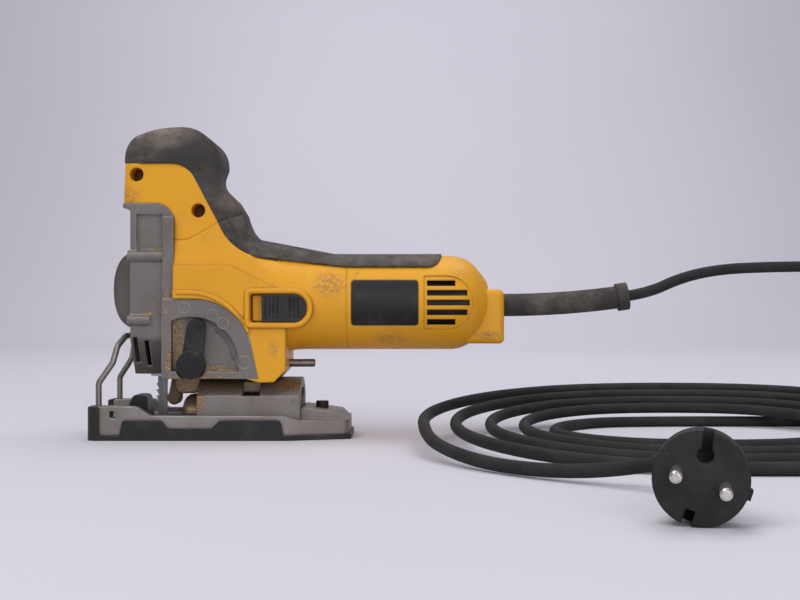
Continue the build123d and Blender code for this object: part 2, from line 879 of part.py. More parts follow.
blade = make_blade()
blade_clamp = rod_z(*clamp_z, clamp_r, blade_x)
blade_clamp -= rod_z(plunger_bottom_z, clamp_z[1], plunger_r + seat, blade_x)
blade_clamp -= box(
    blade_front_x - seat,
    blade_back_x + seat,
    -blade_thick / 2 - seat,
    blade_thick / 2 + seat,
    clamp_z[0],
    plunger_bottom_z,
)

# Pendulum fork with its pin and the guide roller behind the blade
roller_x = blade_back_x + free + roller_r
roller_pin_r = 1.5
roller_half_width = 3.2


def capsule(x0, z0, r0, x1, z1, r1, y_low, y_high):
    """Two rounds joined by a straight arm, as a plate across the tool."""
    away = Vector(x1 - x0, z1 - z0).normalized()
    side = Vector(-away.Y, away.X)
    arm = [
        (x0 + side.X * r0, z0 + side.Y * r0, 0),
        (x1 + side.X * r1, z1 + side.Y * r1, 0),
        (x1 - side.X * r1, z1 - side.Y * r1, 0),
        (x0 - side.X * r0, z0 - side.Y * r0, 0),
    ]
    plate = side_block(arm, y_low, y_high)
    return plate + rod_y(y_low, y_high, r0, x0, z0) + rod_y(y_low, y_high, r1, x1, z1)


cheek = capsule(fork_x, fork_z, 5.0, roller_x, roller_z, 3.4, roller_half_width + free, fork_half_width)
fork = mirrored(cheek) + rod_y(-fork_half_width, fork_half_width, 5.0, fork_x, fork_z)
fork -= rod_y(-fork_half_width, fork_half_width, fork_pin_r + running, fork_x, fork_z)
fork -= rod_y(-fork_half_width, fork_half_width, roller_pin_r + seat, roller_x, roller_z)
fork_pin = rod_y(-10.0, 10.0, fork_pin_r, fork_x, fork_z)
roller_pin = rod_y(-fork_half_width, fork_half_width, roller_pin_r, roller_x, roller_z)
guide_roller = rod_y(-roller_half_width, roller_half_width, roller_r, roller_x, roller_z)
guide_roller -= rod_y(-roller_half_width, roller_half_width, roller_pin_r + running, roller_x, roller_z)
groove = rod_y(-0.9, 0.9, roller_r + 1.0, roller_x, roller_z)
groove -= rod_y(-0.9, 0.9, roller_r - 0.8, roller_x, roller_z)
guide_roller -= groove

# Orbit lever on its shaft, slide switch, lock rod
lever_reach = 23.2
lever_tip_r = 5.6
lever_boss_r = 8.7
lever_lean_deg = 8.0
lever_tip_x = lever_x + lever_reach * math.sin(math.radians(lever_lean_deg))
lever_tip_z = lever_z + lever_reach * math.cos(math.radians(lever_lean_deg))
pocket_floor_y = -body_half_width + 6.5
orbit_lever = capsule(
    lever_x, lever_z, 6.4, lever_tip_x, lever_tip_z, lever_tip_r, pocket_floor_y - 6.5, pocket_floor_y - free
)
orbit_lever += rod_y(pocket_floor_y - 8.0, pocket_floor_y - free, lever_boss_r, lever_x, lever_z)
orbit_lever += rod_y(pocket_floor_y - free, -9.0, lever_shaft_r, lever_x, lever_z)

switch_corners = [
    (switch_x - switch_length / 2, switch_z - switch_height / 2, 1.5),
    (switch_x - switch_length / 2, switch_z + switch_height / 2, 1.5),
    (switch_x + switch_length / 2, switch_z + switch_height / 2, 8.1),
    (switch_x + switch_length / 2, switch_z - switch_height / 2, 8.1),
]
slide_switch = side_block(switch_corners, -body_half_width - 1.6, -tube_bore_r - free)
for step in (2.4, 4.8, 7.2, 9.6, 17.4, 19.8, 22.2):
    x = switch_x - switch_length / 2 + step
    slide_switch -= box(x - 0.6, x + 0.6, -60.0, -body_half_width - 0.4, switch_z - 6.4, switch_z + 6.4)

lock_rod = rod_x(lock_rod_x + free, lock_rod_reach_x, lock_rod_r, lock_rod_z)
lock_rod = chamfer(lock_rod.faces().sort_by(Axis.X)[-1].edges(), 0.6)


# Shoe: die-cast plate with raised front blocks, side rails and a tail wedge
plate_half_width = sole_half_width - 2.0
plate_front_x = sole_front_x + 3.0
plate_rear_x = sole_rear_x - 1.5
block_inner_half_width = 25.0
guide_slot_x = (-115.0, -110.5)
guide_slot_z = (13.5, 18.0)
rail_inner_half_width = 30.0
guard_x = -122.6
guard_y = 31.0
guard_foot_z = 12.0


def shoe_plan(x_front, x_rear, half_width):
    """Top-view outline of the shoe, its tail drawn in."""
    return [
        (x_front, -half_width, 6.0),
        (x_front, half_width, 6.0),
        (x_rear - 38.0, half_width, 8.0),
        (x_rear, half_width - 12.0, 4.0),
        (x_rear, -half_width + 12.0, 4.0),
        (x_rear - 38.0, -half_width, 8.0),
    ]


def blade_way(grow):
    """Blade opening in the shoe, open through it."""
    return plan_block(
        [
            (slot_front_x - grow, -slot_half_width - grow, 3.0),
            (slot_front_x - grow, slot_half_width + grow, 3.0),
            (slot_rear_x + grow, slot_half_width + grow, 3.0),
            (slot_rear_x + grow, -slot_half_width - grow, 3.0),
        ],
        -5.0,
        60.0,
    )


def make_shoe():
    plate = plan_block(shoe_plan(plate_front_x, plate_rear_x, plate_half_width), sole_thick, plate_top_z)
    block = side_block(
        [
            (plate_front_x, sole_thick + 3.0, 0),
            (plate_front_x, block_top_z, 2.0),
            (block_rear_x, block_top_z, 4.0),
            (block_rear_x + 9.0, rail_top_z, 4.0),
            (plate_rear_x - 40.0, rail_top_z, 0),
            (plate_rear_x - 30.0, plate_top_z, 0),
            (plate_rear_x - 30.0, sole_thick + 3.0, 0),
        ],
        rail_inner_half_width,
        plate_half_width,
    )
    inner_block = side_block(
        [
            (plate_front_x, sole_thick + 3.0, 0),
            (plate_front_x, block_top_z, 2.0),
            (block_rear_x - 8.0, block_top_z, 6.0),
            (block_rear_x + 2.0, sole_thick + 3.0, 0),
        ],
        block_inner_half_width,
        rail_inner_half_width,
    )
    tail = side_block(
        [
            (barrel_rear_x - 2.0, plate_top_z - 1.0, 0),
            (barrel_rear_x - 2.0, 19.5, 2.0),
            (26.0, 16.0, 3.0),
            (plate_rear_x - 0.5, plate_top_z - 1.0, 0),
        ],
        -22.0,
        22.0,
    )
    limit = plan_block(shoe_plan(plate_front_x, plate_rear_x, plate_half_width), 0.0, 60.0)
    shoe = plate + (mirrored(block + inner_block) & limit) + tail
    shoe -= blade_way(0.0)
    for y in (-guard_y, guard_y):
        shoe -= rod_z(guard_foot_z, 60.0, guard_wire_r + seat, guard_x, y)
    shoe -= box(*guide_slot_x, -60.0, 60.0, *guide_slot_z)
    shoe -= rod_z(shoe_screw_foot_z, 60.0, shoe_screw_r + seat, shoe_screw_x)
    shoe -= rod_z(shoe_screw_seat_z, 60.0, shoe_screw_head_r + free, shoe_screw_x)
    return shoe


shoe_screw_x = 13.5
shoe_screw_r = 2.5
shoe_screw_head_r = 4.0
shoe_screw_foot_z = 6.0
shoe_screw_seat_z = 16.8
shoe_screw_head = 5.0
shoe_plate = make_shoe()
shoe_screw = rod_z(shoe_screw_foot_z, shoe_screw_seat_z, shoe_screw_r, shoe_screw_x)
shoe_screw += rod_z(shoe_screw_seat_z, shoe_screw_seat_z + shoe_screw_head, shoe_screw_head_r, shoe_screw_x)

# Tilt barrel: round-backed tunnel on the shoe that the gear case rides on
barrel = rod_x(barrel_front_x, barrel_rear_x - 2.0, barrel_r, 0.0)
barrel &= box(barrel_front_x, barrel_rear_x, -barrel_half_width, barrel_half_width, plate_top_z, 60.0)
tunnel_half_width = 15.5
barrel -= box(-35.0, -24.0, -60.0, -tunnel_half_width + 2.0, 26.5, 60.0)
barrel -= front_block(
    [
        (-tunnel_half_width, plate_top_z - 1.0, 0),
        (tunnel_half_width, plate_top_z - 1.0, 0),
        (tunnel_half_width, barrel_r - 6.5, 8.0),
        (-tunnel_half_width, barrel_r - 6.5, 8.0),
    ],
    barrel_front_x - 1.0,
    barrel_rear_x + 1.0,
)

# Sole cover: moulded tray under the shoe with stepped side walls
cover_low_z = 7.5
cover_high_z = 12.5


def make_sole_cover():
    tray = plan_block(shoe_plan(sole_front_x, sole_rear_x, sole_half_width), 0.0, sole_thick)
    wall = side_block(
        [
            (sole_front_x, 0.5, 0),
            (sole_front_x, block_top_z, 1.5),
            (plate_front_x + 4.0, block_top_z, 0),
            (plate_front_x + 4.0, sole_thick, 0),
            (-108.5, sole_thick, 0),
            (-107.0, cover_high_z, 2.5),
            (-83.0, cover_high_z, 3.0),
            (-79.0, cover_low_z, 3.0),
            (-52.0, cover_low_z, 3.0),
            (-47.5, cover_high_z, 3.0),
            (-10.0, cover_high_z, 3.0),
            (-8.0, 0.5, 0),
        ],
        -sole_half_width,
        sole_half_width,
    )
    wall &= plan_block(shoe_plan(sole_front_x, sole_rear_x, sole_half_width), 0.0, 60.0)
    wall -= plan_block(shoe_plan(plate_front_x, plate_rear_x, plate_half_width), 0.0, 60.0)
    front_gap = box(sole_front_x - 1.0, plate_front_x, -24.0, 24.0, 10.0, 60.0)
    return tray + wall - front_gap - blade_way(0.0)


sole_cover = make_sole_cover()

# Splinter insert in front of the blade
insert_rear_x = blade_front_x - 2.5
insert_top_z = 26.0
splinter_insert = box(
    slot_front_x + seat,
    insert_rear_x,
    -slot_half_width + seat,
    slot_half_width - seat,
    0.6,
    7.0,
)
splinter_insert &= blade_way(-seat)
splinter_insert += side_block(
    [
        (guide_slot_x[1] + free, 4.0, 0),
        (guide_slot_x[1] + free, 14.0, 0),
        (guide_slot_x[1] + 4.5, insert_top_z, 3.0),
        (insert_rear_x - 2.0, insert_top_z, 3.0),
        (insert_rear_x, 4.0, 0),
    ],
    -9.0,
    9.0,
)

# Wire guard: one bent rod with its two feet in the shoe
guard_half = [
    (guard_x, guard_y, guard_foot_z),
    (guard_x, guard_y, 35.0),
    (-114.3, 29.0, 47.5),
    (-112.0, 26.5, 57.5),
    (-108.7, 18.0, 63.6),
]
guard_points = guard_half + [(x, -y, z) for x, y, z in reversed(guard_half)]
guard_path = FilletPolyline(*guard_points, radius=5.0)
wire_guard = sweep(Plane(origin=guard_points[0], z_dir=(0, 0, 1)) * Circle(guard_wire_r), path=guard_path)

# Bend sleeve: rubber tube with a collar, bowed upwards along its length
bow_r = sleeve_length / math.radians(sleeve_bend_deg)


def bow_point(share):
    angle = math.radians(sleeve_bend_deg * share)
    return Vector(rear_end_x + bow_r * math.sin(angle), 0, sleeve_axis_z + bow_r * (1 - math.cos(angle)))


sleeve_end = bow_point(1.0)
sleeve_way = Vector(math.cos(math.radians(sleeve_bend_deg)), 0, math.sin(math.radians(sleeve_bend_deg)))
bow = ThreePointArc(bow_point(0.0), bow_point(0.5), sleeve_end)
bend_sleeve = sweep(Plane(origin=bow_point(0.0), z_dir=(1, 0, 0)) * Circle(sleeve_r), path=bow)
collar_length = 7.0
bend_sleeve += rod(sleeve_end - sleeve_way * collar_length, sleeve_way, collar_length, sleeve_collar_r)


# Cord: a free lead, a loose coil and a tail to the plug
def tube(points, name):
    """Round cord along straight runs joined by arcs as large as the runs allow."""
    points = [Vector(*point) for point in points]
    radii = []
    for before, here, after in zip(points, points[1:], points[2:]):
        turn = math.radians((here - before).get_angle(after - here))
        shorter = min((here - before).length, (after - here).length)
        radii.append(0.45 * shorter / math.tan(turn / 2))
    path = FilletPolyline(*points, radius=radii)
    section = Plane(origin=points[0], z_dir=points[1] - points[0]) * Circle(cord_r)
    solid = sweep(section, path=path)
    ideal = math.pi * cord_r**2 * path.length
    print(name, "radii", [round(r, 1) for r in radii])
    print(name, "length", round(path.length, 1), "volume share", round(solid.volume / ideal, 4))
    return solid


coil_start_x = 344.0
pile_y = [56.0, 60.0, 66.4, 72.8, 79.2]
pile_z = [cord_r, cord_r + 8.8, cord_r + 13.0, cord_r + 17.2, cord_r + 21.4]
near_y = [-95.0, -130.0, -165.0, -200.0, -230.0]
left_x = [236.0, 235.0, 234.0, 233.0, 232.0]
right_x = [262.0, 263.0, 264.0, 265.0]

lead_points = [
    tuple(sleeve_end),
    tuple(sleeve_end + sleeve_way * 14.0),
    (243.0, 0.5, 100.5),
    (268.0, 1.5, 106.0),
    (302.0, 5.0, 107.5),
    (337.0, 9.0, 108.0),
    (372.0, 14.0, 106.0),
    (404.4, 26.0, 87.0),
    (417.0, 44.0, 55.0),
    (405.0, pile_y[0], 23.0),
    (372.0, pile_y[0], cord_r),
    (coil_start_x, pile_y[0], cord_r),
]


def half_turn(start, end, centre_x, way):
    """Half circle from one straight run to the next, bulging along the tool by its radius."""
    radius = (end - start).length / 2
    middle = (start + end) / 2
    first = Vector(centre_x, start.Y, start.Z)
    last = Vector(centre_x, end.Y, end.Z)
    return first, ThreePointArc(first, Vector(centre_x + way * radius, middle.Y, middle.Z), last), last


def coil_path():
    """Loops laid from a pile at the back to a spread at the front, larger each time."""
    edges = []
    loops = len(right_x)
    back = [Vector(0, y, z) for y, z in zip(pile_y, pile_z)]
    near = [Vector(0, y, cord_r) for y in near_y]
    here = Vector(coil_start_x, pile_y[0], pile_z[0])
    for loop in range(loops):
        first, bend, last = half_turn(back[loop], near[loop], left_x[loop], -1)
        edges += [Line(here, first), bend]
        first, bend, here = half_turn(near[loop], back[loop + 1], right_x[loop], 1)
        edges += [Line(last, first), bend]
    radius = (near[loops] - back[loops]).length / 2
    across = (near[loops] - back[loops]).normalized()
    first = back[loops] + Vector(left_x[loops], 0, 0)
    centre = first + across * radius
    tip = centre - Vector(radius, 0, 0)
    slant = math.sqrt(0.5) * radius
    quarter = ThreePointArc(first, centre - across * slant - Vector(slant, 0, 0), tip)
    end = tip + across * 2 * cord_r
    edges += [Line(here, first), quarter, Line(tip, end)]
    return Wire(edges), end, across


coil_wire, coil_end, coil_end_way = coil_path()
coil_section = Plane(origin=(coil_start_x, pile_y[0], pile_z[0]), z_dir=(-1, 0, 0)) * Circle(cord_r)
cord_coil = sweep(coil_section, path=coil_wire)


def least_gap(wire, step):
    """Least clear distance of a cord to itself, measured on points along its line."""
    count = int(wire.length / step)
    points = [wire.position_at(index / count) for index in range(count + 1)]
    apart = int(40.0 / step)
    least = wire.length
    for index, point in enumerate(points):
        for other in points[index + apart :]:
            least = min(least, (other - point).length)
    return least - 2 * cord_r


print("coil length", round(coil_wire.length, 1), "least gap", round(least_gap(coil_wire, 4.0), 2))
print("coil volume share", round(cord_coil.volume / (math.pi * cord_r**2 * coil_wire.length), 4))

plug_x = 177.0
plug_neck_y = -306.0
plug_back_y = -332.0
plug_face_y = plug_back_y - plug_depth
plug_turn_deg = 18.0
plug_yaw_deg = -12.8
notch_turn_deg = 10.0


def aimed(shape):
    """A shape drawn on the plug's own axis, swung about the middle of the plug's face."""
    return Pos(plug_x, plug_face_y, 0) * Rot(0, 0, plug_yaw_deg) * Pos(-plug_x, -plug_face_y, 0) * shape


def plug_line(behind):
    """Point on the plug's axis, a distance behind its face."""
    yaw = math.radians(plug_yaw_deg)
    return (plug_x - behind * math.sin(yaw), plug_face_y + behind * math.cos(yaw), plug_r)


tail_points = [
    tuple(coil_end),
    tuple(coil_end + coil_end_way * 30.0),
    (86.0, -148.0, 7.5),
    (106.0, -184.0, 4.2),
    (131.0, -212.0, 4.2),
    (156.0, -232.0, 6.5),
    (184.0, -252.0, 13.0),
    plug_line(72.0),
    plug_line(plug_neck_y - plug_face_y),
]
cord_lead = tube(lead_points, "lead")
cord_tail = tube(tail_points, "tail")


# Plug: round moulded body with notches and two round pins
def make_plug():
    body = rod_y(plug_face_y, plug_back_y, plug_r, plug_x, plug_r)
    turn = Pos(plug_x, 0, plug_r) * Rot(0, plug_turn_deg, 0)
    tab_reach = plug_r + 1.3
    body += turn * box(-tab_reach, tab_reach, plug_face_y + 1.5, plug_face_y + 9.0, -2.0, 2.0)
    for x, z in pin_places():
        body += rod_y(plug_face_y - 0.7, plug_face_y, plug_pin_r + 1.6, x, z)
    keyhole = box(-2.1, 2.1, plug_face_y - 1.0, plug_face_y + 12.0, keyhole_z, plug_r + 5.0)
    keyhole += rod_y(plug_face_y - 1.0, plug_face_y + 9.0, 3.3, 0.0, keyhole_z)
    body -= Pos(plug_x, 0, plug_r) * Rot(0, notch_turn_deg, 0) * keyhole
    body -= turn * box(-1.9, 1.9, plug_face_y - 1.0, plug_face_y + 12.0, -plug_r - 5.0, -plug_r + 6.0)
    profile = [(plug_neck_y, 0.0), (plug_neck_y, 5.5), (plug_back_y, 14.0), (plug_back_y, 0.0)]
    cone = revolve(Plane.XY * outline([(r, y, 0) for y, r in profile]), Axis.Y)
    return aimed(body + Pos(plug_x, 0, plug_r) * cone)


keyhole_z = 9.2


def pin_places():
    turn = math.radians(-plug_turn_deg)
    half = plug_pin_spacing / 2
    return [
        (plug_x + side * half * math.cos(turn), plug_r + side * half * math.sin(turn)) for side in (-1, 1)
    ]


plug = make_plug()


def make_pin(x, z):
    pin = rod_y(plug_face_y - plug_pin_length, plug_face_y - 0.7, plug_pin_r, x, z)
    return aimed(chamfer(pin.faces().sort_by(Axis.Y)[0].edges(), 0.8))


plug_pins = [make_pin(x, z) for x, z in pin_places()]

# Every sub-part under its name
nodes = {
    "main_housing": main_housing,
    "rear_cover": rear_cover,
    "handle_left": handle_left,
    "handle_right": handle_right,
    "handle_screws": Compound(handle_screws),
    "knob_rubber": knob,
    "main_grip": main_grip,
    "rear_grip": rear_grip,
    "side_plate": side_plate,
    "gear_case": gear_case,
    "front_cover": front_cover,
    "field_stack": field_stack,
    "field_coils": Compound(field_coils),
    "armature": armature,
    "cooling_fan": fan,
    "motor_bearings": Compound(motor_bearings),
    "gear_bearing": gear_bearing,
    "bearing_bridge": bearing_bridge,
    "brush_carrier": brush_carrier,
    "carbon_brushes": Compound(carbon_brushes),
    "switch_module": switch_module,
    "slide_switch": slide_switch,
    "drive_gear": drive_gear,
    "plunger": plunger,
    "plunger_bushes": Compound(plunger_bushes),
    "blade_clamp": blade_clamp,
    "blade": blade,
    "pendulum_fork": fork,
    "fork_pin": fork_pin,
    "roller_pin": roller_pin,
    "guide_roller": guide_roller,
    "orbit_lever": orbit_lever,
    "lock_rod": lock_rod,
    "shoe_plate": shoe_plate,
    "tilt_barrel": barrel,
    "shoe_screw": shoe_screw,
    "sole_cover": sole_cover,
    "splinter_insert": splinter_insert,
    "wire_guard": wire_guard,
    "bend_sleeve": bend_sleeve,
    "cord_lead": cord_lead,
    "cord_coil": cord_coil,
    "cord_tail": cord_tail,
    "plug": plug,
    "plug_pins": Compound(plug_pins),
}
for name, shape in nodes.items():
    export_step(shape, f"parts/{name}.step")
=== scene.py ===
"""A used corded jigsaw: amber housing, black grips, cast gear case and shoe, loose cord and plug."""

import json
import math

import bmesh
import bpy
import numpy as np
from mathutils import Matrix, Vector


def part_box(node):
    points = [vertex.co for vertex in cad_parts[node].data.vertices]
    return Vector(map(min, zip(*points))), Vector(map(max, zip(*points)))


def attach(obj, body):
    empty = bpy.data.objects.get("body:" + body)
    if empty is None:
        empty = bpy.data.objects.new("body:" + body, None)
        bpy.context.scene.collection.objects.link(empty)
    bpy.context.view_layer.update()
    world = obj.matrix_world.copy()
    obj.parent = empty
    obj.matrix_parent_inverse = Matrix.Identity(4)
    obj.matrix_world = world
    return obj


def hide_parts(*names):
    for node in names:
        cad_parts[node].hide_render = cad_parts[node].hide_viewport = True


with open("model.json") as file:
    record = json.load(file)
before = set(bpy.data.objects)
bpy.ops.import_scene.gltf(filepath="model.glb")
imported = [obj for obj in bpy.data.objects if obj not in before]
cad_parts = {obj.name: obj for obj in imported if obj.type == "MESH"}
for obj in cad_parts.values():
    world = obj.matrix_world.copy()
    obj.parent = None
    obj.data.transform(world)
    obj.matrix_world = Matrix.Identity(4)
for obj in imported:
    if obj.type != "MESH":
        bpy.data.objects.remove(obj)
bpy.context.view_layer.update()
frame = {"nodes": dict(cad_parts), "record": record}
nodes = frame["nodes"]

MM = 0.001


# Node helpers: a finish is a tree of textures on object coordinates
def finish(name, roughness, metallic=0.0, specular=0.5):
    """A fresh principled material with its constant sockets set."""
    material = bpy.data.materials.new(name)
    material.use_nodes = True
    tree = material.node_tree
    shader = tree.nodes["Principled BSDF"]
    shader.inputs["Roughness"].default_value = roughness
    shader.inputs["Metallic"].default_value = metallic
    shader.inputs["Specular IOR Level"].default_value = specular
    return material, tree, shader


def plug_in(tree, value, socket):
    """Links a socket, or sets a constant on it."""
    if isinstance(value, bpy.types.NodeSocket):
        tree.links.new(value, socket)
    elif isinstance(value, (tuple, list)) and len(value) == 3 and socket.type == "RGBA":
        socket.default_value = (*value, 1.0)
    else:
        socket.default_value = value


def place(tree, stretch=(1.0, 1.0, 1.0), turn=(0.0, 0.0, 0.0)):
    """Object coordinates in metres, stretched and turned for a pattern."""
    texture = tree.nodes.new("ShaderNodeTexCoord")
    mapping = tree.nodes.new("ShaderNodeMapping")
    mapping.inputs["Scale"].default_value = stretch
    mapping.inputs["Rotation"].default_value = turn
    tree.links.new(texture.outputs["Object"], mapping.inputs["Vector"])
    return mapping.outputs["Vector"]


def noise(tree, scale, detail=4.0, stretch=(1.0, 1.0, 1.0), turn=(0.0, 0.0, 0.0), rough=0.6):
    """Cloudy grey pattern, scale in cells per metre."""
    texture = tree.nodes.new("ShaderNodeTexNoise")
    texture.inputs["Scale"].default_value = scale
    texture.inputs["Detail"].default_value = detail
    texture.inputs["Roughness"].default_value = rough
    tree.links.new(place(tree, stretch, turn), texture.inputs["Vector"])
    return texture.outputs["Fac"]


def span(tree, value, low, high, out_low=0.0, out_high=1.0):
    """Straight ramp from low to high, clamped."""
    ramp = tree.nodes.new("ShaderNodeMapRange")
    plug_in(tree, value, ramp.inputs["Value"])
    for socket, number in zip(("From Min", "From Max", "To Min", "To Max"), (low, high, out_low, out_high)):
        ramp.inputs[socket].default_value = number
    return ramp.outputs["Result"]


def sums(tree, kind, first, second):
    """One step of arithmetic on grey values."""
    step = tree.nodes.new("ShaderNodeMath")
    step.operation = kind
    plug_in(tree, first, step.inputs[0])
    plug_in(tree, second, step.inputs[1])
    return step.outputs["Value"]


def mixed(tree, share, first, second):
    """Colour mix of two colours or sockets."""
    mix = tree.nodes.new("ShaderNodeMix")
    mix.data_type = "RGBA"
    plug_in(tree, share, mix.inputs["Factor"])
    plug_in(tree, first, mix.inputs["A"])
    plug_in(tree, second, mix.inputs["B"])
    return mix.outputs["Result"]


def soft_edges(tree, radius):
    """Normal that reads sharp edges as rounded by a radius."""
    bevel = tree.nodes.new("ShaderNodeBevel")
    bevel.samples = 4
    bevel.inputs["Radius"].default_value = radius
    return bevel.outputs["Normal"]


def worn_edges(tree, radius, low=0.96, high=0.80):
    """1 along sharp edges, 0 on open faces: how far the rounded normal leaves the true one."""
    true = tree.nodes.new("ShaderNodeNewGeometry")
    dot = tree.nodes.new("ShaderNodeVectorMath")
    dot.operation = "DOT_PRODUCT"
    tree.links.new(soft_edges(tree, radius), dot.inputs[0])
    tree.links.new(true.outputs["Normal"], dot.inputs[1])
    return span(tree, dot.outputs["Value"], low, high)


BUMP_STRENGTH = 0.6


def bumped(tree, shader, height, distance, normal):
    """Bump from a grey pattern on top of a normal, into the shader."""
    bump = tree.nodes.new("ShaderNodeBump")
    bump.inputs["Strength"].default_value = BUMP_STRENGTH
    bump.inputs["Distance"].default_value = distance
    tree.links.new(height, bump.inputs["Height"])
    tree.links.new(normal, bump.inputs["Normal"])
    tree.links.new(bump.outputs["Normal"], shader.inputs["Normal"])


def spot(tree, centre, radii):
    """1 at a point, falling to 0 on an ellipsoid about it."""
    moved = tree.nodes.new("ShaderNodeVectorMath")
    moved.operation = "SUBTRACT"
    tree.links.new(place(tree), moved.inputs[0])
    moved.inputs[1].default_value = centre
    scaled = tree.nodes.new("ShaderNodeVectorMath")
    scaled.operation = "DIVIDE"
    tree.links.new(moved.outputs["Vector"], scaled.inputs[0])
    scaled.inputs[1].default_value = radii
    length = tree.nodes.new("ShaderNodeVectorMath")
    length.operation = "LENGTH"
    tree.links.new(scaled.outputs["Vector"], length.inputs[0])
    return span(tree, length.outputs["Value"], 1.0, 0.35)


def occlusion_shade(tree, reach):
    """Mask for painted shade: 1 deep in corners and seams where ambient occlusion blocks light, 0 on open
    faces.
    """
    shade = tree.nodes.new("ShaderNodeAmbientOcclusion")
    shade.samples = 6
    shade.inputs["Distance"].default_value = reach
    return span(tree, shade.outputs["AO"], 0.72, 0.30)


# Finishes
SCUFFS = [
    ((0.0195, -0.028, 0.0960), (0.0125, 0.020, 0.0100), 0.70),
    ((0.0565, -0.024, 0.0620), (0.0150, 0.020, 0.0055), 0.45),
    ((0.0990, -0.018, 0.1015), (0.0100, 0.015, 0.0070), 0.35),
    ((0.1190, -0.018, 0.0640), (0.0100, 0.020, 0.0035), 0.80),
    ((-0.1050, -0.024, 0.1500), (0.0100, 0.012, 0.0080), 0.55),
    ((-0.0150, -0.031, 0.0560), (0.0050, 0.010, 0.0070), 0.40),
]
AMBER = ((0.71, 0.330, 0.011), (0.56, 0.243, 0.008))
AMBER_SCRATCH = (0.20, 0.10, 0.03)
AMBER_SPECK = (0.16, 0.085, 0.03)
AMBER_SCUFF = (0.13, 0.095, 0.07)
AMBER_GRIME_AND_SHADE = (0.10, 0.05, 0.015)
AMBER_RUBBED = (0.30, 0.15, 0.035)
AMBER_EDGE = 0.0016


def amber_plastic():
    """Scuffed amber moulding: grime in clouds, dark scratches, a rubbed patch by the switch, and painted
    shade with grime in creases.
    """
    material, tree, shader = finish("amber_plastic", 0.42, specular=0.32)
    cloud = span(tree, noise(tree, 28.0, 6.0), 0.46, 0.78, 0.0, 0.40)
    colour = mixed(tree, cloud, *AMBER)
    scratch = span(tree, noise(tree, 260.0, 3.0, (1.0, 1.0, 0.18), (0.0, 0.6, 0.0)), 0.66, 0.74, 0.0, 0.35)
    colour = mixed(tree, scratch, colour, AMBER_SCRATCH)
    speck = span(tree, noise(tree, 900.0, 2.0), 0.70, 0.76, 0.0, 0.5)
    colour = mixed(tree, speck, colour, AMBER_SPECK)
    hatch = span(tree, noise(tree, 420.0, 6.0, (1.0, 1.0, 1.7), (0.0, 0.7, 0.0), 0.7), 0.42, 0.58)
    for centre, radii, share in SCUFFS:
        rub = sums(tree, "MULTIPLY", spot(tree, centre, radii), hatch)
        colour = mixed(tree, sums(tree, "MULTIPLY", rub, share), colour, AMBER_SCUFF)
    # Painted shade with grime: creases and seams darkened where ambient occlusion is strong, broken up by
    # noise.
    grime_and_shade = sums(tree, "MULTIPLY", occlusion_shade(tree, 0.003), span(tree, noise(tree, 300.0, 4.0), 0.30, 0.60))
    colour = mixed(tree, sums(tree, "MULTIPLY", grime_and_shade, 0.8), colour, AMBER_GRIME_AND_SHADE)
    edge = sums(tree, "MULTIPLY", worn_edges(tree, AMBER_EDGE), span(tree, noise(tree, 120.0), 0.45, 0.65))
    colour = mixed(tree, sums(tree, "MULTIPLY", edge, 0.45), colour, AMBER_RUBBED)
    tree.links.new(colour, shader.inputs["Base Color"])
    tree.links.new(span(tree, noise(tree, 60.0), 0.3, 0.7, 0.34, 0.56), shader.inputs["Roughness"])
    bumped(tree, shader, noise(tree, 1500.0, 2.0), 0.00006, soft_edges(tree, AMBER_EDGE))
    return material


RUBBER_WEAR = 0.002
RUBBER_EDGE = 0.0022


def grip_rubber(name, base, dust, dust_share, spots_and_light=()):
    """Dull rubber with pale dust in clouds and a fine grain.

    At each spot given it is painted paler with the dust colour, or darker with the base where the spot's
    share is below 0: painted highlight and painted shade on the knob, paler patches elsewhere."""
    material, tree, shader = finish(name, 0.78, specular=0.35)
    cloud = span(tree, noise(tree, 55.0, 7.0, rough=0.72), 0.42, 0.74, 0.0, dust_share)
    colour = mixed(tree, cloud, base, dust)
    speck = span(tree, noise(tree, 700.0, 2.0), 0.66, 0.74, 0.0, 0.5)
    colour = mixed(tree, speck, colour, dust)
    edge = sums(tree, "MULTIPLY", worn_edges(tree, RUBBER_WEAR), span(tree, noise(tree, 140.0), 0.42, 0.62))
    colour = mixed(tree, sums(tree, "MULTIPLY", edge, 0.5), colour, dust)
    patchy = span(tree, noise(tree, 95.0, 6.0, rough=0.7), 0.36, 0.60)
    for centre, radii, share in spots_and_light:
        rubbed = sums(tree, "MULTIPLY", spot(tree, centre, radii), patchy)
        colour = mixed(tree, sums(tree, "MULTIPLY", rubbed, abs(share)), colour, dust if share > 0 else base)
    tree.links.new(colour, shader.inputs["Base Color"])
    bumped(tree, shader, noise(tree, 1100.0, 3.0), 0.00015, soft_edges(tree, RUBBER_EDGE))
    return material


ALLOY_TONES = ((1.0, 0.90, 0.86), (0.70, 0.61, 0.56))
ALLOY_GRIME = (0.15, 0.12, 0.09)
ALLOY_CORNER_SHADE = (0.085, 0.060, 0.038)
ALLOY_RUBBED = (0.58, 0.57, 0.56)
ALLOY_EDGE = 0.0014
SAWDUST = ((0.11, 0.070, 0.036), (0.46, 0.325, 0.185))


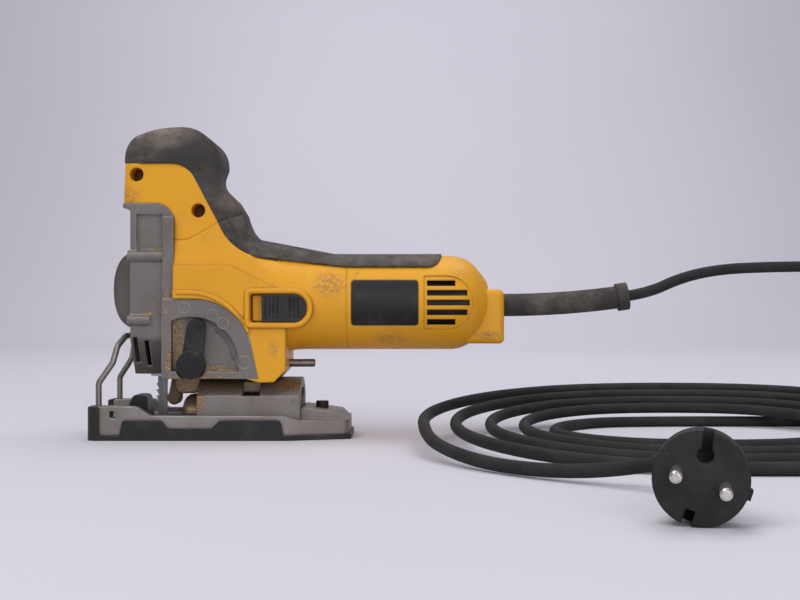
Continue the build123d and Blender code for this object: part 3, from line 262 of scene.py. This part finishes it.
def cast_alloy(name, light, heaps=()):
    """Grey die-cast alloy with a sandy skin, painted shade with grime in its corners, bright rubbed edges and
    sawdust heaped at the spots given.
    """
    material, tree, shader = finish(name, 0.50, 0.55)
    pale, dark = (tuple(light * part for part in tone) for tone in ALLOY_TONES)
    cloud = span(tree, noise(tree, 35.0, 6.0), 0.35, 0.75)
    colour = mixed(tree, cloud, pale, dark)
    grime = span(tree, noise(tree, 160.0, 5.0), 0.55, 0.75, 0.0, 0.55)
    colour = mixed(tree, grime, colour, ALLOY_GRIME)
    # Painted shade with grime: corners and seams darkened towards brown where ambient occlusion is strong.
    corner = occlusion_shade(tree, 0.004)
    colour = mixed(tree, sums(tree, "MULTIPLY", corner, 0.75), colour, ALLOY_CORNER_SHADE)
    edge = sums(tree, "MULTIPLY", worn_edges(tree, ALLOY_EDGE), span(tree, noise(tree, 90.0), 0.35, 0.6))
    colour = mixed(tree, sums(tree, "MULTIPLY", edge, 0.7), colour, ALLOY_RUBBED)
    grain = noise(tree, 1100.0, 5.0, rough=0.75)
    dust = mixed(tree, span(tree, noise(tree, 1500.0, 3.0), 0.42, 0.62), *SAWDUST)
    heap = span(tree, noise(tree, 330.0, 4.0, rough=0.7), 0.36, 0.60, 0.62, 1.12)
    for centre, radii in heaps:
        depth = sums(tree, "SUBTRACT", sums(tree, "MULTIPLY", spot(tree, centre, radii), heap), grain)
        colour = mixed(tree, span(tree, depth, -0.08, 0.22, 0.0, 0.92), colour, dust)
    tree.links.new(colour, shader.inputs["Base Color"])
    bumped(tree, shader, noise(tree, 1300.0, 3.0), 0.00012, soft_edges(tree, ALLOY_EDGE))
    return material


BLACK_DUST = (0.085, 0.078, 0.07)
BLACK_RUBBED = (0.20, 0.19, 0.18)
BLACK_EDGE = 0.0009


def moulded_black(name, base, roughness):
    """Black moulding with dust and pale rubbed edges."""
    material, tree, shader = finish(name, roughness, specular=0.30)
    cloud = span(tree, noise(tree, 80.0, 6.0), 0.5, 0.8, 0.0, 0.4)
    colour = mixed(tree, cloud, base, BLACK_DUST)
    edge = sums(tree, "MULTIPLY", worn_edges(tree, BLACK_EDGE), span(tree, noise(tree, 150.0), 0.42, 0.62))
    colour = mixed(tree, sums(tree, "MULTIPLY", edge, 0.55), colour, BLACK_RUBBED)
    tree.links.new(colour, shader.inputs["Base Color"])
    bumped(tree, shader, noise(tree, 1400.0, 2.0), 0.00006, soft_edges(tree, BLACK_EDGE))
    return material


TARNISH = (0.16, 0.11, 0.075)
METAL_EDGE = 0.0005


def bare_metal(name, colour, roughness, tarnish):
    """Plain metal with drawn streaks and a little tarnish."""
    material, tree, shader = finish(name, roughness, 0.9)
    streak = span(tree, noise(tree, 500.0, 3.0, (1.0, 1.0, 0.08)), 0.35, 0.7)
    shade = tuple(part * 0.75 for part in colour)
    base = mixed(tree, streak, colour, shade)
    stain = span(tree, noise(tree, 130.0, 5.0), 0.55, 0.75, 0.0, tarnish)
    tree.links.new(mixed(tree, stain, base, TARNISH), shader.inputs["Base Color"])
    bumped(tree, shader, streak, 0.00003, soft_edges(tree, METAL_EDGE))
    return material


amber = amber_plastic()
# Spots on the grip rubber: the pale spot on the knob's top is a painted highlight, the two dark spots below
# it are painted shade, and the last two spots are paler patches.
GRIP_SPOTS_AND_LIGHT = [
    ((-0.0780, -0.0150, 0.1720), (0.045, 0.040, 0.0130), -0.90),
    ((-0.0560, -0.0150, 0.1700), (0.022, 0.040, 0.0260), -0.80),
    ((-0.0920, -0.0150, 0.1890), (0.034, 0.030, 0.0120), 0.85),
    ((-0.0430, -0.0200, 0.1480), (0.012, 0.025, 0.008), 0.50),
    ((0.0600, -0.0150, 0.1150), (0.050, 0.030, 0.008), 0.45),
]
charcoal = grip_rubber("charcoal_rubber", (0.036, 0.033, 0.031), (0.23, 0.185, 0.150), 0.50, GRIP_SPOTS_AND_LIGHT)
sheath = grip_rubber("cord_rubber", (0.012, 0.012, 0.013), (0.070, 0.064, 0.060), 0.28)
POCKET_DUST = [
    ((-0.0745, -0.0250, 0.060), (0.0075, 0.006, 0.026)),
    ((-0.0790, -0.0300, 0.0480), (0.0040, 0.008, 0.0130)),
    ((-0.0560, -0.0245, 0.0430), (0.026, 0.004, 0.0045)),
    ((-0.0600, -0.0310, 0.0370), (0.032, 0.010, 0.0040)),
    ((-0.0812, -0.0280, 0.078), (0.0022, 0.006, 0.026)),
    ((-0.0880, -0.0240, 0.1172), (0.008, 0.005, 0.0024)),
    ((-0.0930, -0.0245, 0.0778), (0.007, 0.005, 0.0024)),
]
BARREL_DUST = [
    ((-0.0440, -0.0230, 0.0345), (0.040, 0.024, 0.0095)),
    ((-0.0610, -0.0200, 0.0240), (0.007, 0.020, 0.0160)),
    ((-0.0050, -0.0230, 0.0345), (0.020, 0.020, 0.0070)),
]
alloy = cast_alloy("cast_alloy", 0.185, POCKET_DUST)
barrel_alloy = cast_alloy("barrel_alloy", 0.24, BARREL_DUST)
shoe_alloy = cast_alloy("shoe_alloy", 0.27)
# The front cover is the case's alloy painted darker: painted shade.
shaded_cover_alloy = cast_alloy("shaded_cover_alloy", 0.12)
# The setting marks are the alloy painted paler: painted highlight.
highlit_mark_alloy = cast_alloy("highlit_mark_alloy", 0.31)
CHEEK_DUST = [
    ((-0.070, -0.009, 0.034), (0.020, 0.010, 0.014)),
    ((-0.066, -0.014, 0.022), (0.014, 0.020, 0.012)),
]
# The cheeks and the barrel nose are the alloy painted darker: painted shade of the hollow under the gear
# case; the brown spots are sawdust.
shaded_cheek_alloy = cast_alloy("shaded_cheek_alloy", 0.13, CHEEK_DUST)
black = moulded_black("black_moulding", (0.016, 0.016, 0.017), 0.46)
satin = moulded_black("satin_plate", (0.008, 0.008, 0.009), 0.40)
steel = bare_metal("bare_steel", (0.52, 0.51, 0.50), 0.34, 0.5)
# The fork and roller are painted dark brown: dust, with painted shade of the hollow behind the blade.
dusty_shaded_steel = bare_metal("dusty_shaded_steel", (0.15, 0.105, 0.07), 0.62, 0.9)
dull_steel = bare_metal("dull_steel", (0.25, 0.235, 0.22), 0.42, 0.7)
# Handle screw heads painted dark red-brown: rust, with painted shade at the bottom of their deep recesses.
rusty_and_shaded = bare_metal("rusty_shaded_screw", (0.17, 0.085, 0.035), 0.6, 0.5)
oxide = bare_metal("black_oxide", (0.045, 0.038, 0.034), 0.55, 0.4)
blued = bare_metal("blued_steel", (0.20, 0.20, 0.205), 0.38, 0.6)
bronze = bare_metal("bronze", (0.50, 0.33, 0.15), 0.4, 0.3)
copper = bare_metal("copper_winding", (0.48, 0.20, 0.09), 0.42, 0.3)
nickel = bare_metal("nickel_pin", (0.68, 0.66, 0.62), 0.22, 0.1)
carbon = moulded_black("carbon_block", (0.015, 0.015, 0.015), 0.6)

finishes = {
    "yellow_plastic": amber,
    "black_rubber": charcoal,
    "cord_sheath": sheath,
    "black_plastic": black,
    "cast_aluminium": shoe_alloy,
    "steel": steel,
    "bronze": bronze,
    "copper": copper,
    "carbon": carbon,
    "nickel": nickel,
}
own_finish = {
    "gear_case": alloy,
    "tilt_barrel": barrel_alloy,
    "front_cover": shaded_cover_alloy,
    "orbit_lever": satin,
    "side_plate": satin,
    "pendulum_fork": dusty_shaded_steel,
    "guide_roller": dusty_shaded_steel,
    "roller_pin": dusty_shaded_steel,
    "blade": blued,
    "wire_guard": dull_steel,
    "lock_rod": dull_steel,
    "handle_screws": rusty_and_shaded,
    "shoe_screw": oxide,
}
for part in frame["record"]["subparts"]:
    chosen = own_finish.get(part["node"], finishes[part["material_slot"]])
    shape = nodes[part["node"]]
    shape.data.materials.clear()
    shape.data.materials.append(chosen)


# Mesh helpers: chains of rings and sheets of points
def linked(name, data):
    """A new object in the scene that holds the data given."""
    holder = bpy.data.objects.new(name, data)
    bpy.context.scene.collection.objects.link(holder)
    return holder


def mesh_piece(name, points, faces, material):
    """A named object from an array of points in millimetres and a list of faces."""
    mesh = bpy.data.meshes.new(name)
    mesh.from_pydata((points.reshape(-1, 3) * MM).tolist(), [], faces)
    mesh.materials.append(material)
    return linked(name, mesh)


def ring_faces(count, across, closed=False):
    """Quads between neighbouring rings; a closed chain joins its last ring to its first."""
    ring, step = np.meshgrid(np.arange(count if closed else count - 1), np.arange(across), indexing="ij")
    after, beside = (ring + 1) % count, (step + 1) % across
    corners = [ring * across + step, ring * across + beside, after * across + beside, after * across + step]
    return np.stack(corners, -1).reshape(-1, 4).tolist()


def end_caps(count, across):
    """One face over each end of an open chain of rings."""
    return [list(range(across))[::-1], list(range((count - 1) * across, count * across))]


def sheet_faces(rows, columns):
    """Quads of a sheet of points."""
    row, column = np.meshgrid(np.arange(rows - 1), np.arange(columns - 1), indexing="ij")
    first = row * columns + column
    return np.stack([first, first + 1, first + columns + 1, first + columns], -1).reshape(-1, 4)


def face_outwards(piece):
    """Turns every face of a closed shape outwards and shades it smooth."""
    shape = bmesh.new()
    shape.from_mesh(piece.data)
    bmesh.ops.recalc_face_normals(shape, faces=shape.faces)
    shape.to_mesh(piece.data)
    shape.free()
    piece.data.shade_smooth()
    return piece


def chain_piece(name, points, material):
    """A closed shape from a chain of rings, capped at both ends."""
    count, across = points.shape[:2]
    faces = ring_faces(count, across) + end_caps(count, across)
    return face_outwards(mesh_piece(name, points, faces, material))


def walled(piece, thickness):
    """Gives a sheet a wall and shades it smooth."""
    wall = piece.modifiers.new("wall", "SOLIDIFY")
    wall.thickness = thickness * MM
    piece.data.shade_smooth()
    return piece


def joined(*parts):
    """One array of points from the arrays of their x, y and z."""
    return np.stack(np.broadcast_arrays(*parts), -1)


def signed_power(value, power):
    """A power that keeps the sign of its base."""
    return np.sign(value) * np.abs(value) ** power


def full_turn(count):
    """Angles of a full turn, in a row, without the last one again."""
    return np.linspace(0.0, 2 * math.pi, count, endpoint=False)[None, :]


# Setting marks on the quadrant: a raised ring and a plain number each, painted paler than the quadrant as a
# highlight on their raised edges
QUADRANT_Y = -31.0
MARKS = [("3", -70.1, 81.6, 3.3), ("2", -52.6, 77.0, 3.3), ("1", -46.0, 72.0, 3.4), ("0", -32.9, 47.8, 3.9)]
MARK_WIRE_R = 0.28
MARK_WIRE_RISE = 0.7
NUMBER_SHARE = 1.35
NUMBER_PLATE = 0.10
NUMBER_RISE = 0.09


def mark_ring(name, x, z, radius):
    """Half-round wire ring: (R + w cos v)(cos u, sin u) across the face, a share of w sin v out of it."""
    around, across = 48, 7
    u = np.linspace(0.0, 2 * math.pi, around, endpoint=False)[:, None]
    v = np.linspace(0.0, math.pi, across)[None, :]
    reach = radius + MARK_WIRE_R * np.cos(v)
    y = QUADRANT_Y - MARK_WIRE_R * MARK_WIRE_RISE * np.sin(v)
    points = joined(x + reach * np.cos(u), y, z + reach * np.sin(u))
    ring, step = np.meshgrid(np.arange(around), np.arange(across - 1), indexing="ij")
    first, after = ring * across + step, (ring + 1) % around * across + step
    faces = np.stack([after, after + 1, first + 1, first], -1).reshape(-1, 4).tolist()
    return mesh_piece(name, points, faces, highlit_mark_alloy)


def mark_number(name, number, x, z, height):
    """A plain number as a thin plate on the quadrant's face."""
    text = bpy.data.curves.new(name + "_text", "FONT")
    text.body = number
    text.size = height
    text.extrude = NUMBER_PLATE
    text.align_x = "CENTER"
    text.align_y = "CENTER"
    holder = bpy.data.objects.new(name + "_text", text)
    mesh = bpy.data.meshes.new_from_object(holder)
    bpy.data.objects.remove(holder)
    flat = np.zeros(len(mesh.vertices) * 3)
    mesh.vertices.foreach_get("co", flat)
    flat = flat.reshape(-1, 3)
    placed = np.column_stack([x + flat[:, 0], QUADRANT_Y - NUMBER_RISE - flat[:, 2], z + flat[:, 1]]) * MM
    mesh.vertices.foreach_set("co", placed.ravel())
    mesh.materials.clear()
    mesh.materials.append(highlit_mark_alloy)
    mesh.name = name
    return linked(name, mesh)


for number, x, z, radius in MARKS:
    for piece in (
        mark_ring("mark_ring_" + number, x, z, radius),
        mark_number("mark_number_" + number, number, x, z, radius * NUMBER_SHARE),
    ):
        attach(piece, "housing")


# Heel of the grip: the rubber rising to meet the knob's tail
SEAM_OUTER = (-34.7, 140.0)
SEAM_RISE = 5.7 / 15.3
HEEL_X = (-46.0, -14.0)
HEEL_HALF_WIDTH = 23.0
HEEL_MIDDLE_Z = 100.0
HEEL_ROOT = 8.0
HEEL_LAP = 0.8
GRIP_TOP_Z = 121.5
HEEL_FALL = 5.2
KNOB_TAIL_X = -50.0
KNOB_TAIL_HALF = 23.0
KNOB_TAIL_TAPER = 0.735


def grip_heel():
    """Saddle of round-shouldered sections along the tool.

    Its crest follows the seam under the knob, then falls to the grip's back by an exponential; each section
    has a flat top as wide as the knob's tail, quarter ellipses down both sides and a shallow root."""
    x = np.linspace(*HEEL_X, 65)[:, None]
    v = full_turn(64)
    seam = SEAM_OUTER[1] + SEAM_RISE * (x - SEAM_OUTER[0]) + HEEL_LAP
    fall = GRIP_TOP_Z + (SEAM_OUTER[1] - GRIP_TOP_Z) * np.exp(-(x - SEAM_OUTER[0]) / HEEL_FALL)
    crest = np.minimum(seam, fall)
    height = np.where(np.sin(v) > 0.0, crest - HEEL_MIDDLE_Z, HEEL_ROOT)
    top = np.clip(KNOB_TAIL_HALF - KNOB_TAIL_TAPER * (x - KNOB_TAIL_X), 0.0, KNOB_TAIL_HALF)
    swing = np.round(np.cos(v), 9)
    y = np.sign(swing) * top + (HEEL_HALF_WIDTH - top) * swing
    z = HEEL_MIDDLE_Z + height * np.sin(v)
    return chain_piece("grip_heel", joined(x, y, z), charcoal)


heel = grip_heel()
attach(heel, "housing")


# Nose of the tilt barrel, low enough to swing under the gear case and its cheeks
NOSE_X = (-62.6, -74.5)
NOSE_END = 0.995
NOSE_BASE_Z = 14.5
NOSE_HALF_WIDTH = 20.0
NOSE_HEIGHT = 12.0
NOSE_SAG = 0.08


def barrel_nose():
    """Half-round nose that closes towards the front.

    Each section is half an ellipse on a nearly flat base, and its size falls along x as a superellipse
    of power four."""
    along = np.linspace(0.0, NOSE_END, 40)[:, None]
    v = full_turn(64)
    size = (1.0 - along**4) ** 0.25
    x = NOSE_X[0] + (NOSE_X[1] - NOSE_X[0]) * along
    y = NOSE_HALF_WIDTH * size * np.cos(v)
    z = NOSE_BASE_Z + NOSE_HEIGHT * size * np.maximum(np.sin(v), NOSE_SAG * np.sin(v))
    return chain_piece("barrel_nose", joined(x, y, z), shaded_cheek_alloy)


nose = barrel_nose()
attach(nose, "shoe")


# Front cover, crowned in one sweep from top to bottom
COVER_END = 0.497 * math.pi
COVER_RIM = 8.0
COVER_CROWN = 2.2


def crowned_cover():
    """Cover on the gear case's front, as long and as wide as its solid.

    From side to side its depth follows a superellipse of power eight, and each section is half a superellipse
    of power 2.2 on a flat back."""
    low, high = (np.array(corner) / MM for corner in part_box("front_cover"))
    middle, half = (low + high) / 2, (high - low) / 2
    turn = np.linspace(-COVER_END, COVER_END, 49)[:, None]
    v = full_turn(96)
    depth = (high[0] - low[0]) * np.cos(turn) ** (2 / COVER_RIM)
    x = high[0] - depth * np.maximum(np.cos(v), 0.0) ** (2 / COVER_CROWN)
    y = middle[1] + half[1] * signed_power(np.sin(turn), 2 / COVER_RIM)
    z = middle[2] + half[2] * signed_power(np.sin(v), 2 / COVER_CROWN)
    return chain_piece("crowned_cover", joined(x, y, z), shaded_cover_alloy)


cover = crowned_cover()
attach(cover, "housing")
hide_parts("front_cover")


# Cheeks under the gear case, one each side of the pendulum fork
CHEEK_X = (-79.0, -62.8)
CHEEK_Z = (27.0, 44.0)
CHEEK_Y = (7.6, 10.0)
CHEEK_INSET = 0.12


def fork_cheek(name, side):
    """Upright plate with a crowned outer face.

    Its outline is a superellipse of power four in x and z, and its thickness swells to the middle."""
    v = np.linspace(0.0, math.pi / 2, 9)[:, None]
    u = full_turn(96)
    middle = [sum(ends) / 2 for ends in (CHEEK_X, CHEEK_Z)]
    half = [(ends[1] - ends[0]) / 2 for ends in (CHEEK_X, CHEEK_Z)]
    inset = 1.0 - CHEEK_INSET * (1.0 - np.cos(v))
    x = middle[0] + half[0] * signed_power(np.cos(u), 0.5) * inset
    y = side * (CHEEK_Y[0] + (CHEEK_Y[1] - CHEEK_Y[0]) * np.sin(v))
    z = middle[1] + half[1] * signed_power(np.sin(u), 0.5) * inset
    return chain_piece(name, joined(x, y, z), shaded_cheek_alloy)


for cheek in (fork_cheek("fork_cheek_left", -1.0), fork_cheek("fork_cheek_right", 1.0)):
    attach(cheek, "housing")


# Dark liners behind the vents: part of the brush carrier, and painted shade inside the housing
MOTOR_AXIS_Z = 84.6
LINER_R = 22.6
LINER_X = (79.0, 107.0)
LINER_SPREAD = math.radians(40.0)
LINER_WALL = 0.8


def vent_shade_liner(name, side):
    """Sheet bent about the motor's axis: x runs along it, and an angle from the side runs round it."""
    x = np.linspace(*LINER_X, 29)[:, None]
    angle = np.linspace(-LINER_SPREAD, LINER_SPREAD, 33)[None, :]
    y = side * LINER_R * np.cos(angle)
    z = MOTOR_AXIS_Z + side * LINER_R * np.sin(angle)
    faces = sheet_faces(x.size, angle.size)[:, ::-1].tolist()
    return walled(mesh_piece(name, joined(x, y, z), faces, black), LINER_WALL)


for liner in (vent_shade_liner("vent_shade_liner_left", -1.0), vent_shade_liner("vent_shade_liner_right", 1.0)):
    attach(liner, "housing")


# Soft beads moulded along the lip round the quadrant and the rim round the switch
LIP_FACE = 32.0
LIP_CENTRE = (-66.9, 52.5)
LIP_R = 38.4
LIP_START_X = -75.0
LIP_ARCS = [(LIP_START_X, LIP_CENTRE[1], LIP_R, 90.0, 89.0), (*LIP_CENTRE, LIP_R, 90.0, 27.0)]
LIP_BEAD = (1.6, 1.0)
RIM_FACE = 32.2
RIM_X = (-31.1, 7.7)
RIM_Z = (70.5, 91.9)
RIM_FRONT_R = 2.4
RIM_REAR_R = 10.2
RIM_ARCS = [
    (RIM_X[1] - RIM_REAR_R, RIM_Z[1] - RIM_REAR_R, RIM_REAR_R, 90.0, 0.0),
    (RIM_X[1] - RIM_REAR_R, RIM_Z[0] + RIM_REAR_R, RIM_REAR_R, 0.0, -90.0),
    (RIM_X[0] + RIM_FRONT_R, RIM_Z[0] + RIM_FRONT_R, RIM_FRONT_R, -90.0, -180.0),
    (RIM_X[0] + RIM_FRONT_R, RIM_Z[1] - RIM_FRONT_R, RIM_FRONT_R, 180.0, 90.0),
]
RIM_BEAD = (1.7, 0.9)
BEAD_ROOT = 0.3
BEAD_TAPER = 6.0
BEAD_TIP = 0.1


def bead(name, arcs, face, side, size, closed):
    """Bead along a chain of arcs on a side face.

    Round the section, cos v moves a point across the line and sin v moves it out of the face;
    the half below the face is drawn in to a thin root, and an open bead's ends sink into the face."""
    wide, high = size
    turn = np.linspace(0.0, 1.0, 25)[:, None]
    x, z, radius, start, end = (np.array(column)[None, :] for column in zip(*arcs))
    angle = np.radians(start + (end - start) * turn).T.ravel()
    reach = np.repeat(radius.ravel(), len(turn))
    normal = np.column_stack([np.cos(angle), np.sin(angle)])
    line = np.column_stack([np.repeat(x.ravel(), len(turn)), np.repeat(z.ravel(), len(turn))])
    line = line + reach[:, None] * normal
    count, across = len(line), 16
    v = full_turn(across)
    along = np.linspace(0.0, 1.0, count)[:, None]
    taper = np.minimum(1.0, BEAD_TAPER * np.minimum(along, 1.0 - along) + BEAD_TIP)
    swell = np.ones_like(along) if closed else taper
    rise = np.where(np.sin(v) > 0.0, high, BEAD_ROOT) * np.sin(v) * swell
    shift = wide * np.cos(v) * swell
    x, z = (line[:, [axis]] + normal[:, [axis]] * shift for axis in (0, 1))
    points = joined(x, side * (face + rise), z)
    if not closed:
        return chain_piece(name, points, amber)
    return face_outwards(mesh_piece(name, points, ring_faces(count, across, closed), amber))


SWITCH_TRAVEL = 7.0
SLOT_REAR_R = 8.4
FLOOR_GAP = 0.45
FLOOR_EDGE_RISE = 0.2
FLOOR_WALL = 0.3


def switch_floor():
    """Amber floor behind the slide switch.

    Rows run from the slot's straight front to its round rear, and the sheet rises towards its edges
    by a power of eight."""
    low, high = (np.array(corner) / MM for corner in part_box("slide_switch"))
    v = np.linspace(-1.0, 1.0, 25)[:, None]
    u = np.linspace(0.0, 1.0, 41)[None, :]
    half = (high[2] - low[2]) / 2
    z = (high[2] + low[2]) / 2 + half * v
    over = np.maximum(half * np.abs(v) - (half - SLOT_REAR_R), 0.0)
    rear = high[0] - SLOT_REAR_R + np.sqrt(np.maximum(SLOT_REAR_R**2 - over**2, 0.0))
    front = low[0] - SWITCH_TRAVEL
    x = front + (rear - front) * u
    y = high[1] + FLOOR_GAP - FLOOR_EDGE_RISE * np.maximum(np.abs(v), np.abs(2 * u - 1)) ** 8
    faces = sheet_faces(v.size, u.size).tolist()
    return walled(mesh_piece("switch_floor", joined(x, y, z), faces, amber), FLOOR_WALL)


for piece in (
    bead("lip_bead_left", LIP_ARCS, LIP_FACE, -1.0, LIP_BEAD, False),
    bead("lip_bead_right", LIP_ARCS, LIP_FACE, 1.0, LIP_BEAD, False),
    bead("switch_bead", RIM_ARCS, RIM_FACE, -1.0, RIM_BEAD, True),
    switch_floor(),
):
    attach(piece, "housing")


# Cord: one smooth line from the bend sleeve through the loose coil to the plug
CORD_R = 3.5
SLEEVE_END = (208.714, 0.0, 88.853)
SLEEVE_NEXT = (222.564, 0.0, 90.898)
LEAD = [
    SLEEVE_END,
    SLEEVE_NEXT,
    (243.0, 0.5, 100.5),
    (268.0, 1.5, 106.0),
    (302.0, 5.0, 107.5),
    (337.0, 9.0, 108.0),
    (372.0, 14.0, 106.0),
    (404.4, 26.0, 87.0),
    (417.0, 44.0, 55.0),
    (405.0, 56.0, 23.0),
    (372.0, 56.0, 3.5),
    (344.0, 56.0, 3.5),
]
PILE_Y = [56.0, 60.0, 66.4, 72.8, 79.2]
PILE_Z = [3.5, 12.3, 16.5, 20.7, 24.9]
NEAR_Y = [-95.0, -130.0, -165.0, -200.0, -230.0]
LEFT_X = [236.0, 235.0, 234.0, 233.0, 232.0]
RIGHT_X = [262.0, 263.0, 264.0, 265.0]
TURN_POINTS = 6
WAY_OUT = 30.0


def half_turn(start, end, centre_x, side, share=1.0):
    """Corners of the polygon drawn round a half circle between two strands.

    Corner k lies at angle (k + 1/2) * pi / n, at radius R / cos(pi / 2n) from the centre."""
    start, end = np.array(start), np.array(end)
    radius = np.linalg.norm(end - start) / 2
    count = round(TURN_POINTS * share)
    angle = (np.arange(count) + 0.5) * math.pi / TURN_POINTS
    reach = radius / math.cos(math.pi / (2 * TURN_POINTS))
    across = 0.5 - 0.5 * np.cos(angle) * reach / radius
    x = centre_x + side * reach * np.sin(angle)
    rest = start[None, :] + across[:, None] * (end - start)[None, :]
    return np.column_stack([x, rest])


def coil_points():
    """Half turns from pile to spread and back, each loop larger than the last, then a straight way out."""
    turns = []
    back = list(zip(PILE_Y, PILE_Z))
    near = [(y, CORD_R) for y in NEAR_Y]
    for loop, right_x in enumerate(RIGHT_X):
        turns.append(half_turn(back[loop], near[loop], LEFT_X[loop], -1.0))
        turns.append(half_turn(near[loop], back[loop + 1], right_x, 1.0))
    turns.append(half_turn(back[-1], near[-1], LEFT_X[-1], -1.0, 0.5))
    chord = np.array(near[-1]) - np.array(back[-1])
    way = chord / np.linalg.norm(chord)
    middle = (np.array(near[-1]) + np.array(back[-1])) / 2
    way_out = middle + way * (2 * CORD_R + WAY_OUT)
    turns.append(np.array([[LEFT_X[-1] - np.linalg.norm(chord) / 2, *way_out]]))
    return np.vstack(turns)


PLUG_FACE = (177.0, -348.0, 18.4)
PLUG_YAW = math.radians(-12.8)


def plug_line(behind):
    """Point on the plug's axis, a distance behind its face."""
    x, y, z = PLUG_FACE
    return (x - behind * math.sin(PLUG_YAW), y + behind * math.cos(PLUG_YAW), z)


TAIL = [
    (86.0, -148.0, 7.5),
    (106.0, -184.0, 4.2),
    (131.0, -212.0, 4.2),
    (156.0, -232.0, 6.5),
    (184.0, -252.0, 13.0),
    plug_line(72.0),
    plug_line(42.0),
]


def make_cord():
    """Round cord on a quadratic spline whose control points are the route's points."""
    points = np.vstack([LEAD, coil_points(), TAIL]) * MM
    curve = bpy.data.curves.new("mains_cord", "CURVE")
    curve.dimensions = "3D"
    curve.bevel_depth = CORD_R * MM
    curve.bevel_resolution = 5
    curve.use_fill_caps = True
    spline = curve.splines.new("NURBS")
    spline.points.add(len(points) - 1)
    spline.points.foreach_set("co", np.column_stack([points, np.ones(len(points))]).ravel())
    spline.order_u = 3
    spline.use_endpoint_u = True
    spline.resolution_u = 8
    curve.materials.append(sheath)
    return linked("mains_cord", curve)


cord = make_cord()
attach(cord, "housing")
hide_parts("cord_lead", "cord_coil", "cord_tail")


# Stage: a pale sweep, soft lights and a level camera
def make_sweep():
    """Floor that bends up into a wall: a profile of flat, quarter round and upright carried sideways."""
    turn = np.linspace(0.0, math.pi / 2, 24)
    front, bend_y, bend_r, top, half = -3.0, 1.5, 0.9, 3.2, 4.0
    y = np.concatenate([[front], bend_y + bend_r * np.sin(turn), [bend_y + bend_r]])
    z = np.concatenate([[0.0], bend_r * (1 - np.cos(turn)), [top]])
    points = joined(np.array([[-half, half]]), y[:, None], z[:, None])
    mesh = bpy.data.meshes.new("sweep")
    mesh.from_pydata(points.reshape(-1, 3).tolist(), [], sheet_faces(len(y), 2).tolist())
    mesh.shade_smooth()
    return linked("sweep", mesh)


def paper():
    """Plain pale paper, a touch lavender."""
    material, tree, shader = finish("pale_paper", 0.85, specular=0.2)
    shade = span(tree, noise(tree, 1.2, 2.0), 0.3, 0.7)
    tree.links.new(mixed(tree, shade, (0.64, 0.62, 0.67), (0.61, 0.59, 0.645)), shader.inputs["Base Color"])
    return material


sweep = make_sweep()
sweep.data.materials.append(paper())


def lamp(name, place, target, size, power, colour):
    """A square soft box aimed at a point."""
    light = bpy.data.lights.new(name, "AREA")
    light.size = size
    light.energy = power
    light.color = colour
    holder = linked(name, light)
    holder.location = place
    way = np.array(target) - np.array(place)
    holder.rotation_euler = (
        math.atan2(math.hypot(way[0], way[1]), -way[2]),
        0.0,
        math.atan2(-way[0], way[1]),
    )


lamp("key_box", (-0.7, -0.9, 1.5), (0.05, 0.0, 0.05), 1.1, 15.4, (1.0, 0.985, 0.96))
lamp("top_box", (0.35, 0.35, 1.6), (0.1, 0.05, 0.0), 1.3, 12.0, (0.97, 0.98, 1.0))
lamp("front_fill", (0.5, -1.7, 0.45), (0.1, 0.0, 0.05), 1.3, 12.6, (0.98, 0.98, 1.0))
lamp("back_box", (0.1, 1.2, 1.5), (0.1, 2.4, 0.45), 0.9, 10.2, (0.97, 0.97, 1.0))

world = bpy.data.worlds.new("studio")
world.use_nodes = True
surround = world.node_tree.nodes["Background"]
surround.inputs["Color"].default_value = (0.80, 0.80, 0.88, 1.0)
surround.inputs["Strength"].default_value = 0.39
bpy.context.scene.world = world
bpy.context.scene.view_settings.view_transform = "Standard"

CAMERA_AT = (63.2, -850.0, 86.2)
FOCAL_PX = 1328.0
PHOTO_WIDTH = 800.0
view = bpy.data.cameras.new("photo_view")
view.sensor_width = 36.0
view.lens = view.sensor_width * FOCAL_PX / PHOTO_WIDTH
view.clip_start = 0.02
camera = linked("photo_view", view)
camera.location = tuple(value * MM for value in CAMERA_AT)
camera.rotation_euler = (math.pi / 2, 0.0, 0.0)
bpy.context.scene.camera = camera
